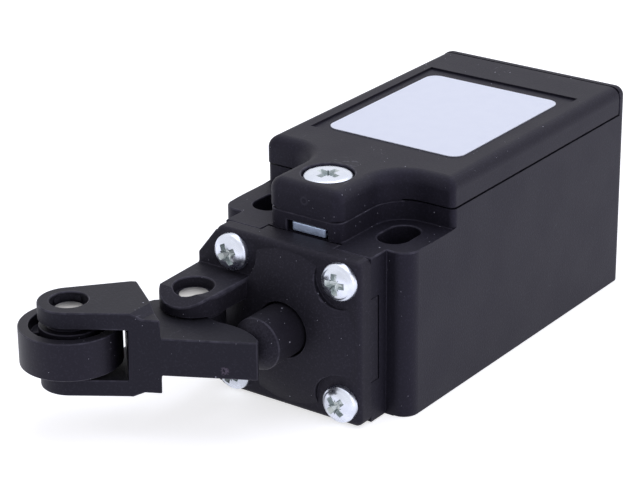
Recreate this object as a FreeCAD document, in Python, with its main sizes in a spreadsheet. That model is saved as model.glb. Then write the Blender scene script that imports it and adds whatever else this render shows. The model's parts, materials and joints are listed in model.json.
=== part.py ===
import FreeCAD, Part
import math
import os

import Sketcher
from FreeCAD import Placement, Rotation, Vector

# Limit switch: a plastic housing that lies on its back, a removable cover, and an operating
# head whose lever carries a roller.  The lever pushes a plunger, and the plunger pushes the
# contact carrier of the block inside.
#
# Frame: +Z is up, out of the cover.  +Y runs from the head to the cable entry.  +X is to the
# right.  The origin is the point midway between the two fixing slots, on the mounting face.

os.makedirs("parts", exist_ok=True)
doc = FreeCAD.newDocument("limit_switch")

# ------------------------------------------------------------------------------------------
# Driving dimensions, in millimetres and degrees
# ------------------------------------------------------------------------------------------

SIZES = {
    # housing and cover outline
    "body_width": (30.0, "width of the housing and cover"),
    "body_height": (30.0, "mounting face to the top of the cover"),
    "body_back": (50.4, "fixing slots back to the cable entry face"),
    "wide_front": (5.2, "fixing slots back to the front of the full width part"),
    "shoulder_front": (5.1, "fixing slots forward to the shoulder face"),
    "joint_front": (8.5, "fixing slots forward to the joint with the head"),
    "nose_front": (7.15, "fixing slots forward to the face of the nose"),
    "cover_height": (4.1, "cover at its edge"),
    "nose_height": (2.7, "shelf round a fixing slot up to the rim that carries the cover"),
    "nose_width": (11.4, "housing nose between the slots"),
    "cover_overhang": (0.05, "cover nose past the housing nose"),
    "cover_lap": (0.2, "cover past the front of the full width part"),
    "notch_radius": (4.6, "hollow corner beside the nose"),
    "shoulder_radius": (2.2, "upright corner of a shoulder"),
    "corner_radius": (1.5, "upright corners of the nose and of the back"),
    "cover_corner_radius": (0.8, "upright front corners of the full width part"),
    "top_radius": (1.6, "rounded top edges of the cover"),
    "lip_radius": (1.4, "rounded top edges of the end lip"),
    "lip_thickness": (1.9, "end lip behind the cover"),
    "parting_gap": (0.28, "shadow gap between the cover and the lip"),
    "seam_gap": (0.3, "shadow gap between the cover and the housing"),
    "seam_depth": (0.8, "shadow gap between the cover and the housing"),
    # housing interior and cable entry
    "wall": (2.2, "side wall and floor of the housing"),
    "cavity_front": (6.9, "fixing slots back to the front of the cavity"),
    "entry_length": (9.0, "threaded cable entry"),
    "entry_radius": (10.0, "cable entry at the root of its thread"),
    "entry_chamfer": (0.7, "mouth of the cable entry"),
    "entry_edge": (1.9, "cable entry to the rim that carries the cover"),
    "gasket_width": (1.0, "cover gasket"),
    "gasket_height": (1.0, "cover gasket"),
    # fixing slots
    "slot_pitch": (20.0, "distance between the fixing slots"),
    "slot_width": (4.4, "fixing slot, across"),
    "slot_length": (6.6, "fixing slot, end to end"),
    # cover screw, its nut and the window in front of the nut
    "screw_front": (1.6, "fixing slots forward to the cover screw"),
    "screw_head_radius": (3.2, "head of the cover screw"),
    "screw_head_height": (2.2, "head of the cover screw"),
    "screw_sink": (0.25, "cover screw head below the cover top"),
    "screw_play": (0.3, "gap round the cover screw head"),
    "screw_radius": (1.5, "shank of the cover screw"),
    "screw_length": (5.2, "shank of the cover screw"),
    "screw_tip_gap": (0.4, "tip of the cover screw to the end of its hole"),
    "ring_height": (0.5, "sealing ring below the cover screw head"),
    "window_width": (6.5, "nut window in the nose"),
    "window_depth": (1.1, "nut window in the nose"),
    "nut_width": (5.4, "plate nut"),
    "nut_reach": (5.25, "cover screw to the front and the back of the plate nut"),
    "nut_aside": (0.6, "cover screw right to the middle of the plate nut and its window"),
    "nut_thickness": (1.35, "plate nut"),
    "nut_corner": (0.4, "upright corners of the plate nut"),
    # label
    "label_side": (1.5, "side of the recess to the label"),
    "label_front": (1.3, "front of the recess to the label"),
    "label_back": (2.1, "back of the recess to the label"),
    "label_radius": (1.8, "corner of the label"),
    "label_thickness": (0.12, "label"),
    "recess_width": (24.4, "label recess, across"),
    "recess_length": (29.8, "label recess, front to back"),
    "recess_front": (11.4, "fixing slots back to the label recess"),
    "recess_depth": (0.3, "label recess"),
    "cover_top_wall": (2.0, "cover over the cavity"),
    # operating head
    "head_foot": (0.2, "mounting face to the underside of the head"),
    "head_plate": (2.4, "flat part of the head round its screws"),
    "crown_height": (1.2, "raised middle of the head"),
    "crown_radius": (7.4, "flat face of the raised middle, before its rounding"),
    "crown_blend": (0.75, "share of the slope of the raised middle that its rounding takes"),
    "head_corner_radius": (1.0, "corners of the head, seen from the front"),
    "head_round": (0.7, "rounded front edges of the head"),
    "screw_inset": (2.95, "side of the head to a head screw, both ways"),
    "pocket_radius": (3.9, "clearance round a head screw"),
    "head_screw_radius": (1.5, "head screw shank"),
    "head_screw_length": (6.4, "head screw shank"),
    "head_screw_cap": (2.55, "head screw cap"),
    "head_screw_height": (1.7, "head screw cap"),
    "head_screw_dome": (3.1, "curve of the head screw cap"),
    "drive_reach": (1.5, "middle of a screw to the end of a cross recess"),
    "drive_width": (0.62, "one wing of a cross recess"),
    "drive_depth": (0.9, "cross recess"),
    "tab_width": (11.6, "locating tab of the head"),
    "tab_length": (1.7, "locating tab of the head"),
    "tab_depth": (1.8, "locating tab of the head"),
    "fit_gap": (0.1, "gap of a loose fit"),
    "press_gap": (0.02, "gap of a tight fit"),
    "running_gap": (0.05, "gap of a turning part round its pin"),
    # plunger, its seal and spring
    "plunger_radius": (3.55, "plunger"),
    "bore_gap": (0.25, "plunger to the bore of the head"),
    "dome_radius": (4.4, "rounded end of the plunger"),
    "dome_front": (6.28, "head joint forward to the centre of the rounded end"),
    "collar_radius": (5.0, "collar that keeps the plunger in"),
    "collar_thickness": (1.2, "collar that keeps the plunger in"),
    "stem_radius": (2.5, "plunger stem"),
    "stem_back": (7.5, "fixing slots back to the end of the stem"),
    "spring_bore_radius": (5.4, "bore for the collar and the spring"),
    "spring_seat": (3.0, "fixing slots back to the spring seat"),
    "seal_radius": (6.0, "plunger seal"),
    "seal_thickness": (1.0, "plunger seal and head gasket"),
    "head_gasket_inner": (7.0, "inside of the head gasket"),
    "head_gasket_outer": (8.1, "outside of the head gasket"),
    "plunger_wire": (0.6, "wire of the plunger spring"),
    "plunger_coil": (4.2, "middle of the wire of the plunger spring"),
    "spring_turns": (5.0, "turns of a spring"),
    "spring_gap": (0.1, "end of a spring to its seat"),
    # ears of the head and the lever hinge
    "pivot_left": (10.3, "head axis left to the lever pivot"),
    "pivot_front": (8.6, "head joint forward to the lever pivot"),
    "ear_gap": (5.6, "gap between the two ears"),
    "ear_back_height": (2.9, "thickness of an ear at the head"),
    "ear_knee_height": (2.65, "thickness of an ear where its tip starts to fall"),
    "ear_tip_height": (1.3, "thickness of an ear at its tip"),
    "ear_knee": (2.0, "pivot forward to where the tip of an ear starts to fall"),
    "ear_left": (4.1, "pivot to the left side of an ear"),
    "ear_radius": (4.5, "pivot to the right side and the front of an ear"),
    "flank_half": (7.1, "head axis to the end of the flat side of the ear root"),
    "flank_foot": (10.8, "head axis to the foot of the ear root"),
    "sink_radius": (2.7, "sink round the lever pin"),
    "pin_radius": (2.0, "lever pin"),
    "pin_length": (8.8, "lever pin"),
    "pin_stand": (0.4, "lever pin above the floor of its sink"),
    # lever
    "lever_thickness": (5.2, "lever arm"),
    "hub_radius": (4.1, "lever round its pivot"),
    "elbow_right": (2.8, "pivot right to the front corner of the fork block"),
    "elbow_front": (10.3, "pivot forward to the front corner of the fork block"),
    "tip_right": (13.6, "pivot right to the tip of the arm"),
    "tip_front": (4.5, "pivot forward to the tip of the arm"),
    "pad_right": (7.6, "pivot right to the centre of the pad curve"),
    "pad_front": (11.4, "pivot forward to the centre of the pad curve"),
    "pad_radius": (9.5, "curved pad that pushes the plunger"),
    "pad_end_angle": (10.3, "turn of the pad curve where it ends"),
    "heel_left": (5.6, "pivot left to the heel of the arm"),
    "heel_front": (1.4, "pivot forward to the heel of the arm"),
    "block_left": (6.5, "pivot left to the back corner of the fork block"),
    "block_front": (3.6, "pivot forward to the back corner of the fork block"),
    # fork and roller
    "roller_left": (9.9, "pivot left to the roller"),
    "roller_front": (13.0, "pivot forward to the roller"),
    "bend_left": (1.2, "pivot left to the bend in front of the fork"),
    "bend_front": (12.35, "pivot forward to the bend in front of the fork"),
    "fork_back_left": (7.2, "pivot left to the back edge of the fork"),
    "fork_back_front": (4.0, "pivot forward to the back edge of the fork"),
    "fork_radius": (4.1, "rounded end of the fork"),
    "fork_offset": (0.12, "roller axis to the centre of the rounded end"),
    "fork_front_angle": (35.0, "direction of the front edge of the fork"),
    "fork_back_angle": (51.0, "direction of the back edge of the fork"),
    "fork_height": (11.6, "fork over both plates"),
    "fork_opening": (7.0, "gap between the fork plates"),
    "facet_left": (0.7, "pivot left to the lowered corner of the fork block"),
    "facet_run": (1.4, "slope to the lowered corner of the fork block"),
    "facet_drop": (0.7, "lowered corner of the fork block"),
    "roller_radius": (6.7, "roller"),
    "roller_width": (5.2, "roller"),
    "roller_gap": (0.35, "roller to the back of its slot"),
    "groove_inner": (4.05, "ring groove of the roller"),
    "groove_outer": (5.3, "ring groove of the roller"),
    "groove_depth": (1.5, "ring groove of the roller"),
    "boss_radius": (3.0, "boss of the roller between the fork plates"),
    "side_play": (0.15, "roller boss to a fork plate"),
    "roller_pin_radius": (2.0, "roller pin"),
    "roller_pin_sink": (1.15, "roller pin below the face of the fork"),
    "roller_pin_stand": (0.35, "roller pin above the floor of its sink"),
    "roller_sink_radius": (2.5, "sink at each end of the roller pin"),
    # contact block case
    "case_front": (7.6, "fixing slots back to the contact block"),
    "case_back": (38.4, "fixing slots back to the end of the contact block"),
    "case_wall": (1.6, "contact block front wall and floor"),
    "case_side": (3.3, "contact block side walls"),
    "room_back": (26.6, "fixing slots back to the end of the room"),
    "case_hole_radius": (2.8, "hole for the stem in the contact block"),
    "lid_thickness": (1.6, "lid of the contact block"),
    "lid_back": (31.6, "fixing slots back to the end of the lid"),
    "platform_height": (13.8, "terminal platform above the underside of the block"),
    "channel_height": (1.6, "terminal platform to the lid"),
    # contact carrier and its return spring
    "stroke": (4.28, "travel of the plunger and the carrier"),
    "push_gap": (0.12, "stem to the nose of the carrier"),
    "carrier_nose_radius": (2.2, "nose of the carrier"),
    "carrier_nose_length": (1.9, "nose of the carrier"),
    "carrier_width": (6.8, "contact carrier, across"),
    "carrier_height": (7.0, "contact carrier, upright"),
    "carrier_bar": (1.1, "bars of the carrier round its windows"),
    "tail_radius": (1.5, "tail of the carrier"),
    "tail_length": (5.5, "tail of the carrier"),
    "return_bore_radius": (2.9, "bore for the return spring"),
    "return_seat": (32.0, "fixing slots back to the return spring seat"),
    "return_wire": (0.45, "wire of the return spring"),
    "return_coil": (2.2, "middle of the wire of the return spring"),
    # contacts
    "strip": (0.8, "thickness of the brass strips"),
    "strip_width": (1.6, "width of a fixed contact strip"),
    "tip_height": (0.4, "contact tip"),
    "tip_radius": (0.7, "contact tip"),
    "outer_gap": (0.4, "side wall to the strip of an opening contact"),
    "inner_gap": (0.55, "carrier to the strip of a closing contact"),
    "contact_gap": (0.05, "closed contact tips, face to face"),
    "bridge_height": (3.2, "moving contact bridge, upright"),
    "bridge_play": (0.4, "bridge to the bar of its window"),
    "contact_spring_length": (2.6, "contact spring"),
    "contact_wire": (0.3, "wire of a contact spring"),
    "contact_coil": (1.1, "middle of the wire of a contact spring"),
    # terminals
    "terminal_pitch": (5.2, "terminal to terminal"),
    "terminal_plate": (3.9, "terminal plate"),
    "terminal_back": (34.9, "fixing slots back to the terminal screws"),
    "terminal_radius": (1.25, "terminal screw shank"),
    "terminal_length": (5.5, "terminal screw shank"),
    "terminal_cap": (2.0, "terminal screw head"),
    "terminal_cap_height": (1.6, "terminal screw head"),
    "clamp_width": (4.2, "terminal clamp"),
    "clamp_thickness": (0.8, "terminal clamp"),
}

sheet = doc.addObject("Spreadsheet::Sheet", "Sizes")
for row, (alias, (number, note)) in enumerate(SIZES.items(), start=1):
    sheet.set(f"A{row}", note)
    sheet.set(f"B{row}", str(number))
    sheet.setAlias(f"B{row}", alias)
doc.recompute()

# ------------------------------------------------------------------------------------------
# Sizes that keep their expression, so that every feature stays bound to the sheet
# ------------------------------------------------------------------------------------------


class Size:
    """A number together with the sheet expression that gives it."""

    def __init__(self, text, value):
        self.text = text
        self.value = value

    def __add__(self, other):
        other = size(other)
        return Size(f"({self.text} + {other.text})", self.value + other.value)

    def __sub__(self, other):
        other = size(other)
        return Size(f"({self.text} - {other.text})", self.value - other.value)

    def __mul__(self, other):
        other = size(other)
        return Size(f"({self.text} * {other.text})", self.value * other.value)

    def __truediv__(self, other):
        other = size(other)
        return Size(f"({self.text} / {other.text})", self.value / other.value)

    def __radd__(self, other):
        return size(other) + self

    def __rsub__(self, other):
        return size(other) - self

    def __rmul__(self, other):
        return size(other) * self

    def __neg__(self):
        return size(0) - self

    def sin(self):
        return Size(f"sin({self.text})", math.sin(math.radians(self.value)))

    def cos(self):
        return Size(f"cos({self.text})", math.cos(math.radians(self.value)))


def size(number):
    """Return number as a Size."""
    if isinstance(number, Size):
        return number
    return Size(f"({float(number)})", float(number))


class Sheet:
    """Gives each alias of the sheet as a Size: S.body_width."""

    def __getattr__(self, alias):
        return Size(f"Sizes.{alias}", float(getattr(sheet, alias)))


S = Sheet()

# ------------------------------------------------------------------------------------------
# Features
# ------------------------------------------------------------------------------------------

DIRECTION = {"x": Vector(1, 0, 0), "y": Vector(0, 1, 0), "z": Vector(0, 0, 1)}

# A turn that lays the Z axis of a primitive, or the plane of a sketch, across each direction.
TURN = {
    "x": Rotation(Vector(1, 1, 1), 120),
    "y": Rotation(Vector(1, 1, 1), 240),
    "z": Rotation(),
}


def bind(feature, **sizes):
    """Bind properties of a feature to sheet expressions."""
    for name, amount in sizes.items():
        feature.setExpression(name, size(amount).text)
    return feature


def place(feature, axis, x, y, z):
    """Turn a feature from Z to the given axis and bind its position."""
    feature.Placement = Placement(Vector(), TURN[axis])
    for letter, amount in zip("xyz", (x, y, z)):
        feature.setExpression(f"Placement.Base.{letter}", size(amount).text)
    return feature


def box(x0, x1, y0, y1, z0, z1):
    """A block between two values on each axis."""
    feature = doc.addObject("Part::Box", "Block")
    bind(feature, Length=size(x1) - x0, Width=size(y1) - y0, Height=size(z1) - z0)
    return place(feature, "z", x0, y0, z0)


def wide_box(width, y0, y1, z0, z1, middle=0):
    """A block of the given width, centred on x = middle."""
    return box(middle - width / 2, middle + width / 2, y0, y1, z0, z1)


def along(axis, start, end, across, up):
    """Position of a turned feature that begins at start, and its length."""
    if axis == "x":
        return (start, across, up), size(end) - start
    if axis == "y":
        return (across, start, up), size(end) - start
    return (across, up, start), size(end) - start


def rod(axis, start, end, across, up, radius):
    """A cylinder along an axis.  (across, up) are its other two coordinates, in XYZ order."""
    feature = doc.addObject("Part::Cylinder", "Rod")
    base, length = along(axis, start, end, across, up)
    bind(feature, Radius=radius, Height=length)
    return place(feature, axis, *base)


def cone(axis, start, end, across, up, start_radius, end_radius):
    """A cone along an axis."""
    feature = doc.addObject("Part::Cone", "Taper")
    base, length = along(axis, start, end, across, up)
    bind(feature, Radius1=start_radius, Radius2=end_radius, Height=length)
    return place(feature, axis, *base)


def ball(x, y, z, radius):
    """A sphere."""
    feature = doc.addObject("Part::Sphere", "Ball")
    bind(feature, Radius=radius)
    return place(feature, "z", x, y, z)


def fuse(*features):
    """Join features into one solid."""
    joined = doc.addObject("Part::MultiFuse", "Join")
    joined.Shapes = list(features)
    joined.Refine = True
    return joined


def common(first, second):
    """Keep what two features share."""
    kept = doc.addObject("Part::Common", "Shared")
    kept.Base = first
    kept.Tool = second
    kept.Refine = True
    return kept


def cut(base, *tools):
    """Cut tools from a feature."""
    tool = tools[0] if len(tools) == 1 else fuse(*tools)
    rest = doc.addObject("Part::Cut", "Rest")
    rest.Base = base
    rest.Tool = tool
    rest.Refine = True
    return rest


def ring(axis, start, end, across, up, outer, inner):
    """A tube along an axis."""
    outside = rod(axis, start, end, across, up, outer)
    return cut(outside, rod(axis, start, end, across, up, inner))


def corner_arc(before, corner, after, radius):
    """Tangent points, centre and turning side of a rounded corner."""
    back = (before - corner).normalize()
    ahead = (after - corner).normalize()
    half = back.getAngle(ahead) / 2
    reach = radius / math.tan(half)
    middle = (back + ahead).normalize() * (radius / math.sin(half))
    turns_left = back.cross(ahead).z < 0
    return corner + back * reach, corner + ahead * reach, corner + middle, turns_left


def fix_point(sketch, geometry, position, u, v):
    """Hold a sketch point at (u, v), bound to the sheet."""
    for kind, amount in (("DistanceX", size(u)), ("DistanceY", size(v))):
        constraint = Sketcher.Constraint(kind, -1, 1, geometry, position, amount.value)
        index = sketch.addConstraint(constraint)
        sketch.setExpression(f"Constraints[{index}]", amount.text)


def outline(corners):
    """A closed sketch through corners (u, v) or (u, v, radius), each bound to the sheet."""
    sketch = doc.addObject("Sketcher::SketchObject", "Outline")
    points = [Vector(size(c[0]).value, size(c[1]).value, 0) for c in corners]
    count = len(corners)
    arcs = []
    for i, corner in enumerate(corners):
        if len(corner) == 2:
            arcs.append(None)
        else:
            radius = size(corner[2]).value
            arcs.append(corner_arc(points[i - 1], points[i], points[(i + 1) % count], radius))
    for i in range(count):
        follower = (i + 1) % count
        start = arcs[i][1] if arcs[i] else points[i]
        end = arcs[follower][0] if arcs[follower] else points[follower]
        sketch.addGeometry(Part.LineSegment(start, end), False)
    for i, corner in enumerate(corners):
        if arcs[i] is None:
            sketch.addConstraint(Sketcher.Constraint("Coincident", (i - 1) % count, 2, i, 1))
            fix_point(sketch, i, 1, corner[0], corner[1])
        else:
            round_corner(sketch, (i - 1) % count, i, arcs[i], corner)
    return sketch


def round_corner(sketch, line_in, line_out, arc, corner):
    """Join two lines of a sketch by a tangent arc whose sharp corner is held in place."""
    first, last, centre, turns_left = arc
    start, end = (first, last) if turns_left else (last, first)
    a0 = math.atan2(start.y - centre.y, start.x - centre.x)
    a1 = math.atan2(end.y - centre.y, end.x - centre.x)
    circle = Part.Circle(centre, Vector(0, 0, 1), size(corner[2]).value)
    bow = sketch.addGeometry(Part.ArcOfCircle(circle, a0, a1), False)
    near, far = (1, 2) if turns_left else (2, 1)
    sketch.addConstraint(Sketcher.Constraint("Tangent", line_in, 2, bow, near))
    sketch.addConstraint(Sketcher.Constraint("Tangent", bow, far, line_out, 1))
    index = sketch.addConstraint(Sketcher.Constraint("Radius", bow, size(corner[2]).value))
    sketch.setExpression(f"Constraints[{index}]", size(corner[2]).text)
    sharp = Vector(size(corner[0]).value, size(corner[1]).value, 0)
    point = sketch.addGeometry(Part.Point(sharp), True)
    fix_point(sketch, point, 1, corner[0], corner[1])
    sketch.addConstraint(Sketcher.Constraint("PointOnObject", point, 1, line_in))
    sketch.addConstraint(Sketcher.Constraint("PointOnObject", point, 1, line_out))


def prism(axis, start, end, corners):
    """Extrude an outline.  Its (u, v) are (y, z) on axis x, (z, x) on axis y, (x, y) on z."""
    sketch = outline(corners)
    base, length = along(axis, start, end, 0, 0)
    place(sketch, axis, *base)
    body = doc.addObject("Part::Extrusion", "Prism")
    body.Base = sketch
    body.DirMode = "Custom"
    body.Dir = DIRECTION[axis]
    body.Solid = True
    bind(body, LengthFwd=length)
    return body


def mirrored(feature, normal, middle=0):
    """A mirror image of a feature across the plane where normal's coordinate is middle."""
    image = doc.addObject("Part::Mirroring", "Image")
    image.Source = feature
    image.Normal = DIRECTION[normal]
    image.setExpression(f"Base.{normal}", size(middle).text)
    return image


def both_sides(feature, normal="x", middle=0):
    """A feature and its mirror image."""
    return feature, mirrored(feature, normal, middle)


def soften(feature, radius, wanted):
    """Round the edges that wanted(edge) picks, with a radius bound to the sheet."""
    doc.recompute()
    names = [f"Edge{i + 1}" for i, edge in enumerate(feature.Shape.Edges) if wanted(edge)]
    holder = doc.addObject("PartDesign::Body", "Rounded")
    holder.BaseFeature = feature
    doc.recompute()
    blank = holder.Tip
    rounding = holder.newObject("PartDesign::Fillet", "Rounding")
    rounding.Base = (blank, names)
    bind(rounding, Radius=radius)
    holder.Tip = rounding
    doc.recompute()
    return holder


def coil(axis, start, end, across, up, radius, wire, turns):
    """A helical spring between two values along an axis, measured over its wire."""
    base, length = along(axis, start + wire / 2, end - wire / 2, across, up)
    path = doc.addObject("Part::Helix", "Spiral")
    bind(path, Radius=radius, Pitch=length / turns, Height=length)
    path.SegmentLength = 1
    section = doc.addObject("Part::Circle", "Wire")
    section.Placement = Placement(Vector(), Rotation(Vector(1, 0, 0), 90))
    bind(section, Radius=wire / 2)
    section.setExpression("Placement.Base.x", size(radius).text)
    spring = doc.addObject("Part::Sweep", "Spring")
    spring.Sections = [section]
    spring.Spine = (path, [])
    spring.Solid = True
    spring.Frenet = True
    return place(spring, axis, *base)


NODES = {}


def node(label, feature):
    """Name a finished piece."""
    feature.Label = label
    NODES[label] = feature
    return feature


def group(label, features):
    """Several separate solids that share one node."""
    bundle = doc.addObject("Part::Compound", label)
    bundle.Links = list(features)
    return node(label, bundle)

# ------------------------------------------------------------------------------------------
# Places that several pieces share
# ------------------------------------------------------------------------------------------

HALF_BODY = S.body_width / 2
PARTING_Z = S.body_height - S.cover_height
SHELF_Z = PARTING_Z - S.nose_height
HEAD_SIZE = SHELF_Z - S.head_foot
AXIS_Z = S.head_foot + HEAD_SIZE / 2
JOINT_Y = -S.joint_front
PLATE_Y = JOINT_Y - S.head_plate
COVER_SCREW_Y = -S.screw_front
NUT_Z = SHELF_Z + S.fit_gap
ENTRY_Z = PARTING_Z - S.entry_edge - S.entry_radius
HALF_CAVITY = S.body_width / 2 - S.wall
CAVITY_BACK = S.body_back - S.entry_length
COVER_HEAD_Z = S.body_height - S.screw_sink - S.screw_head_height
PIVOT_X = -S.pivot_left
PIVOT_Y = JOINT_Y - S.pivot_front
ROLLER_X = PIVOT_X - S.roller_left
ROLLER_Y = PIVOT_Y - S.roller_front
COLLAR_Y = JOINT_Y + S.seal_thickness + S.fit_gap
COLLAR_BACK = COLLAR_Y + S.collar_thickness
CASE_WIDTH = (HALF_CAVITY - S.fit_gap) * 2
ROOM_WIDTH = CASE_WIDTH - S.case_side * 2
PLATFORM_Z = S.wall + S.platform_height
CASE_TOP = PLATFORM_Z + S.channel_height
OUTER_ASIDE = ROOM_WIDTH / 2 - S.outer_gap - S.strip_width / 2
INNER_ASIDE = S.carrier_width / 2 + S.inner_gap + S.strip_width / 2
STRIP_TOP = PLATFORM_Z + S.strip
CARRIER_TIP = S.stem_back + S.push_gap
CARRIER_Y = CARRIER_TIP + S.carrier_nose_length
OPENING_BRIDGE_Y = CARRIER_Y + S.carrier_bar + S.bridge_play
MIDDLE_BAR_Y = OPENING_BRIDGE_Y + S.strip + S.contact_spring_length + S.fit_gap * 2
CLOSING_BRIDGE_Y = MIDDLE_BAR_Y + S.carrier_bar + S.contact_spring_length + S.fit_gap * 2
CARRIER_BACK = CLOSING_BRIDGE_Y + S.strip + S.bridge_play + S.carrier_bar
FORK_TURN = (S.fork_front_angle + S.fork_back_angle) / 2
FORK_TOP = AXIS_Z + S.fork_height / 2
FORK_BOTTOM = AXIS_Z - S.fork_height / 2
ELBOW = (PIVOT_X + S.elbow_right, PIVOT_Y - S.elbow_front)
BLOCK_CORNER = (PIVOT_X - S.block_left, PIVOT_Y - S.block_front)
TERMINALS = [S.terminal_pitch * places for places in (-1.5, -0.5, 0.5, 1.5)]

# ------------------------------------------------------------------------------------------
# Housing, cover and what holds them together
# ------------------------------------------------------------------------------------------


def head_screw_places():
    """The (x, z) of each head screw."""
    offset = HEAD_SIZE / 2 - S.screw_inset
    return [
        (offset * across, AXIS_Z + offset * up)
        for across in (-1, 1)
        for up in (-1, 1)
    ]


def nose_outline(half_nose, nose_y, half_wide, wide_y, back_y, corner, notch, *back_corner):
    """Plan of the full width part with its nose.  Without a back corner its back is square."""
    return [
        (-half_nose, nose_y, corner),
        (half_nose, nose_y, corner),
        (half_nose, wide_y, notch),
        (half_wide, wide_y, S.cover_corner_radius),
        (half_wide, back_y, *back_corner),
        (-half_wide, back_y, *back_corner),
        (-half_wide, wide_y, S.cover_corner_radius),
        (-half_nose, wide_y, notch),
    ]


def fixing_slot(x):
    """Cutter for one fixing slot, long across the front to back direction."""
    reach = (S.slot_length - S.slot_width) / 2
    radius = S.slot_width / 2
    top = SHELF_Z + S.fit_gap
    return fuse(
        wide_box(S.slot_width, -reach, reach, 0, top, x),
        rod("z", 0, top, x, -reach, radius),
        rod("z", 0, top, x, reach, radius),
    )


def tab_blocks(grow):
    """The four locating tabs of the head, grown by a gap for their notches."""
    half_tab = S.tab_width / 2 + grow
    outer = HEAD_SIZE / 2
    inner = outer - S.tab_depth - grow
    back = JOINT_Y + S.tab_length + grow
    upper = box(-half_tab, half_tab, JOINT_Y, back, AXIS_Z + inner, AXIS_Z + outer)
    right = box(inner, outer, JOINT_Y, back, AXIS_Z - half_tab, AXIS_Z + half_tab)
    return both_sides(upper, "z", AXIS_Z) + both_sides(right)


def nut_blank(grow):
    """Plate of the nut, grown by a gap for its pocket."""
    half = S.nut_width / 2 + grow
    front = COVER_SCREW_Y - S.nut_reach - grow
    back = COVER_SCREW_Y + S.nut_reach + grow
    left = S.nut_aside - half
    right = S.nut_aside + half
    return prism("z", NUT_Z - grow, NUT_Z + S.nut_thickness + grow, [
        (left, front, S.nut_corner),
        (right, front, S.nut_corner),
        (right, back, S.nut_corner),
        (left, back, S.nut_corner),
    ])


def housing():
    """Hollow body with the neck, the shelf round the slots, the nose and the end lip."""
    lower = prism("z", 0, SHELF_Z, [
        (-HALF_BODY, -S.shoulder_front, S.shoulder_radius),
        (HALF_BODY, -S.shoulder_front, S.shoulder_radius),
        (HALF_BODY, S.body_back, S.corner_radius),
        (-HALF_BODY, S.body_back, S.corner_radius),
    ])
    upper = prism("z", SHELF_Z, PARTING_Z, nose_outline(
        S.nose_width / 2, -S.nose_front, HALF_BODY, S.wide_front, S.body_back,
        S.corner_radius, S.notch_radius, S.corner_radius))
    neck = wide_box(HEAD_SIZE, JOINT_Y, 0,
                    AXIS_Z - HEAD_SIZE / 2, AXIS_Z + HEAD_SIZE / 2)
    blank = fuse(lower, upper, neck)
    hollow = wide_box(HALF_CAVITY * 2, S.cavity_front, CAVITY_BACK, S.wall, PARTING_Z)
    ledge = wide_box((HALF_CAVITY + S.gasket_width) * 2, S.cavity_front - S.gasket_width,
                     CAVITY_BACK + S.gasket_width, PARTING_Z - S.gasket_height,
                     PARTING_Z)
    entry = rod("y", CAVITY_BACK, S.body_back, 0, ENTRY_Z, S.entry_radius)
    mouth = cone("y", S.body_back - S.entry_chamfer, S.body_back, 0, ENTRY_Z,
                 S.entry_radius, S.entry_radius + S.entry_chamfer)
    seal_seat = rod("y", JOINT_Y, JOINT_Y + S.seal_thickness, 0, AXIS_Z,
                    S.seal_radius + S.press_gap)
    spring_bore = rod("y", JOINT_Y, S.spring_seat, 0, AXIS_Z, S.spring_bore_radius)
    stem_bore = rod("y", S.spring_seat, S.cavity_front, 0, AXIS_Z, S.stem_radius + S.bore_gap)
    groove = ring("y", JOINT_Y, JOINT_Y + S.seal_thickness, 0, AXIS_Z,
                  S.head_gasket_outer + S.press_gap, S.head_gasket_inner - S.press_gap)
    screw_end = PLATE_Y + S.head_screw_length + S.screw_tip_gap
    screw_holes = [
        rod("y", JOINT_Y, screw_end, x, z, S.head_screw_radius + S.press_gap)
        for x, z in head_screw_places()
    ]
    window = box(S.nut_aside - S.window_width / 2, S.nut_aside + S.window_width / 2,
                 -S.nose_front, -S.nose_front + S.window_depth,
                 SHELF_Z, NUT_Z + S.nut_thickness + S.fit_gap)
    cover_screw_hole = rod("z", COVER_HEAD_Z - S.screw_length - S.screw_tip_gap,
                           PARTING_Z, 0, COVER_SCREW_Y, S.screw_radius + S.fit_gap)
    hollowed = cut(
        blank, hollow, ledge, entry, mouth, seal_seat, spring_bore, stem_bore, groove,
        *screw_holes, *tab_blocks(S.fit_gap), *both_sides(fixing_slot(S.slot_pitch / 2)),
        window, nut_blank(S.fit_gap), cover_screw_hole,
    )
    return fuse(hollowed, end_lip())


def end_lip():
    """Lip that closes the end of the cover, rounded like the cover."""
    lip_y = S.body_back - S.lip_thickness
    plan = prism("z", PARTING_Z, S.body_height, [
        (-HALF_BODY, S.wide_front),
        (HALF_BODY, S.wide_front),
        (HALF_BODY, S.body_back, S.corner_radius),
        (-HALF_BODY, S.body_back, S.corner_radius),
    ])
    lip = common(plan, wide_box(S.body_width, lip_y, S.body_back, PARTING_Z,
                                S.body_height))
    return soften(lip, S.lip_radius, lambda edge: top_edge(edge, lip_y.value, 1))


def top_edge(edge, limit, side):
    """True for an edge in the top face that doesn't lie on the plane y = limit."""
    bounds = edge.BoundBox
    level = S.body_height.value
    on_top = abs(bounds.ZMin - level) < 1e-4 and abs(bounds.ZMax - level) < 1e-4
    on_plane = abs(bounds.YMin - limit) < 1e-4 and abs(bounds.YMax - limit) < 1e-4
    return on_top and not on_plane and (bounds.Center.y - limit) * side > 0


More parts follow.
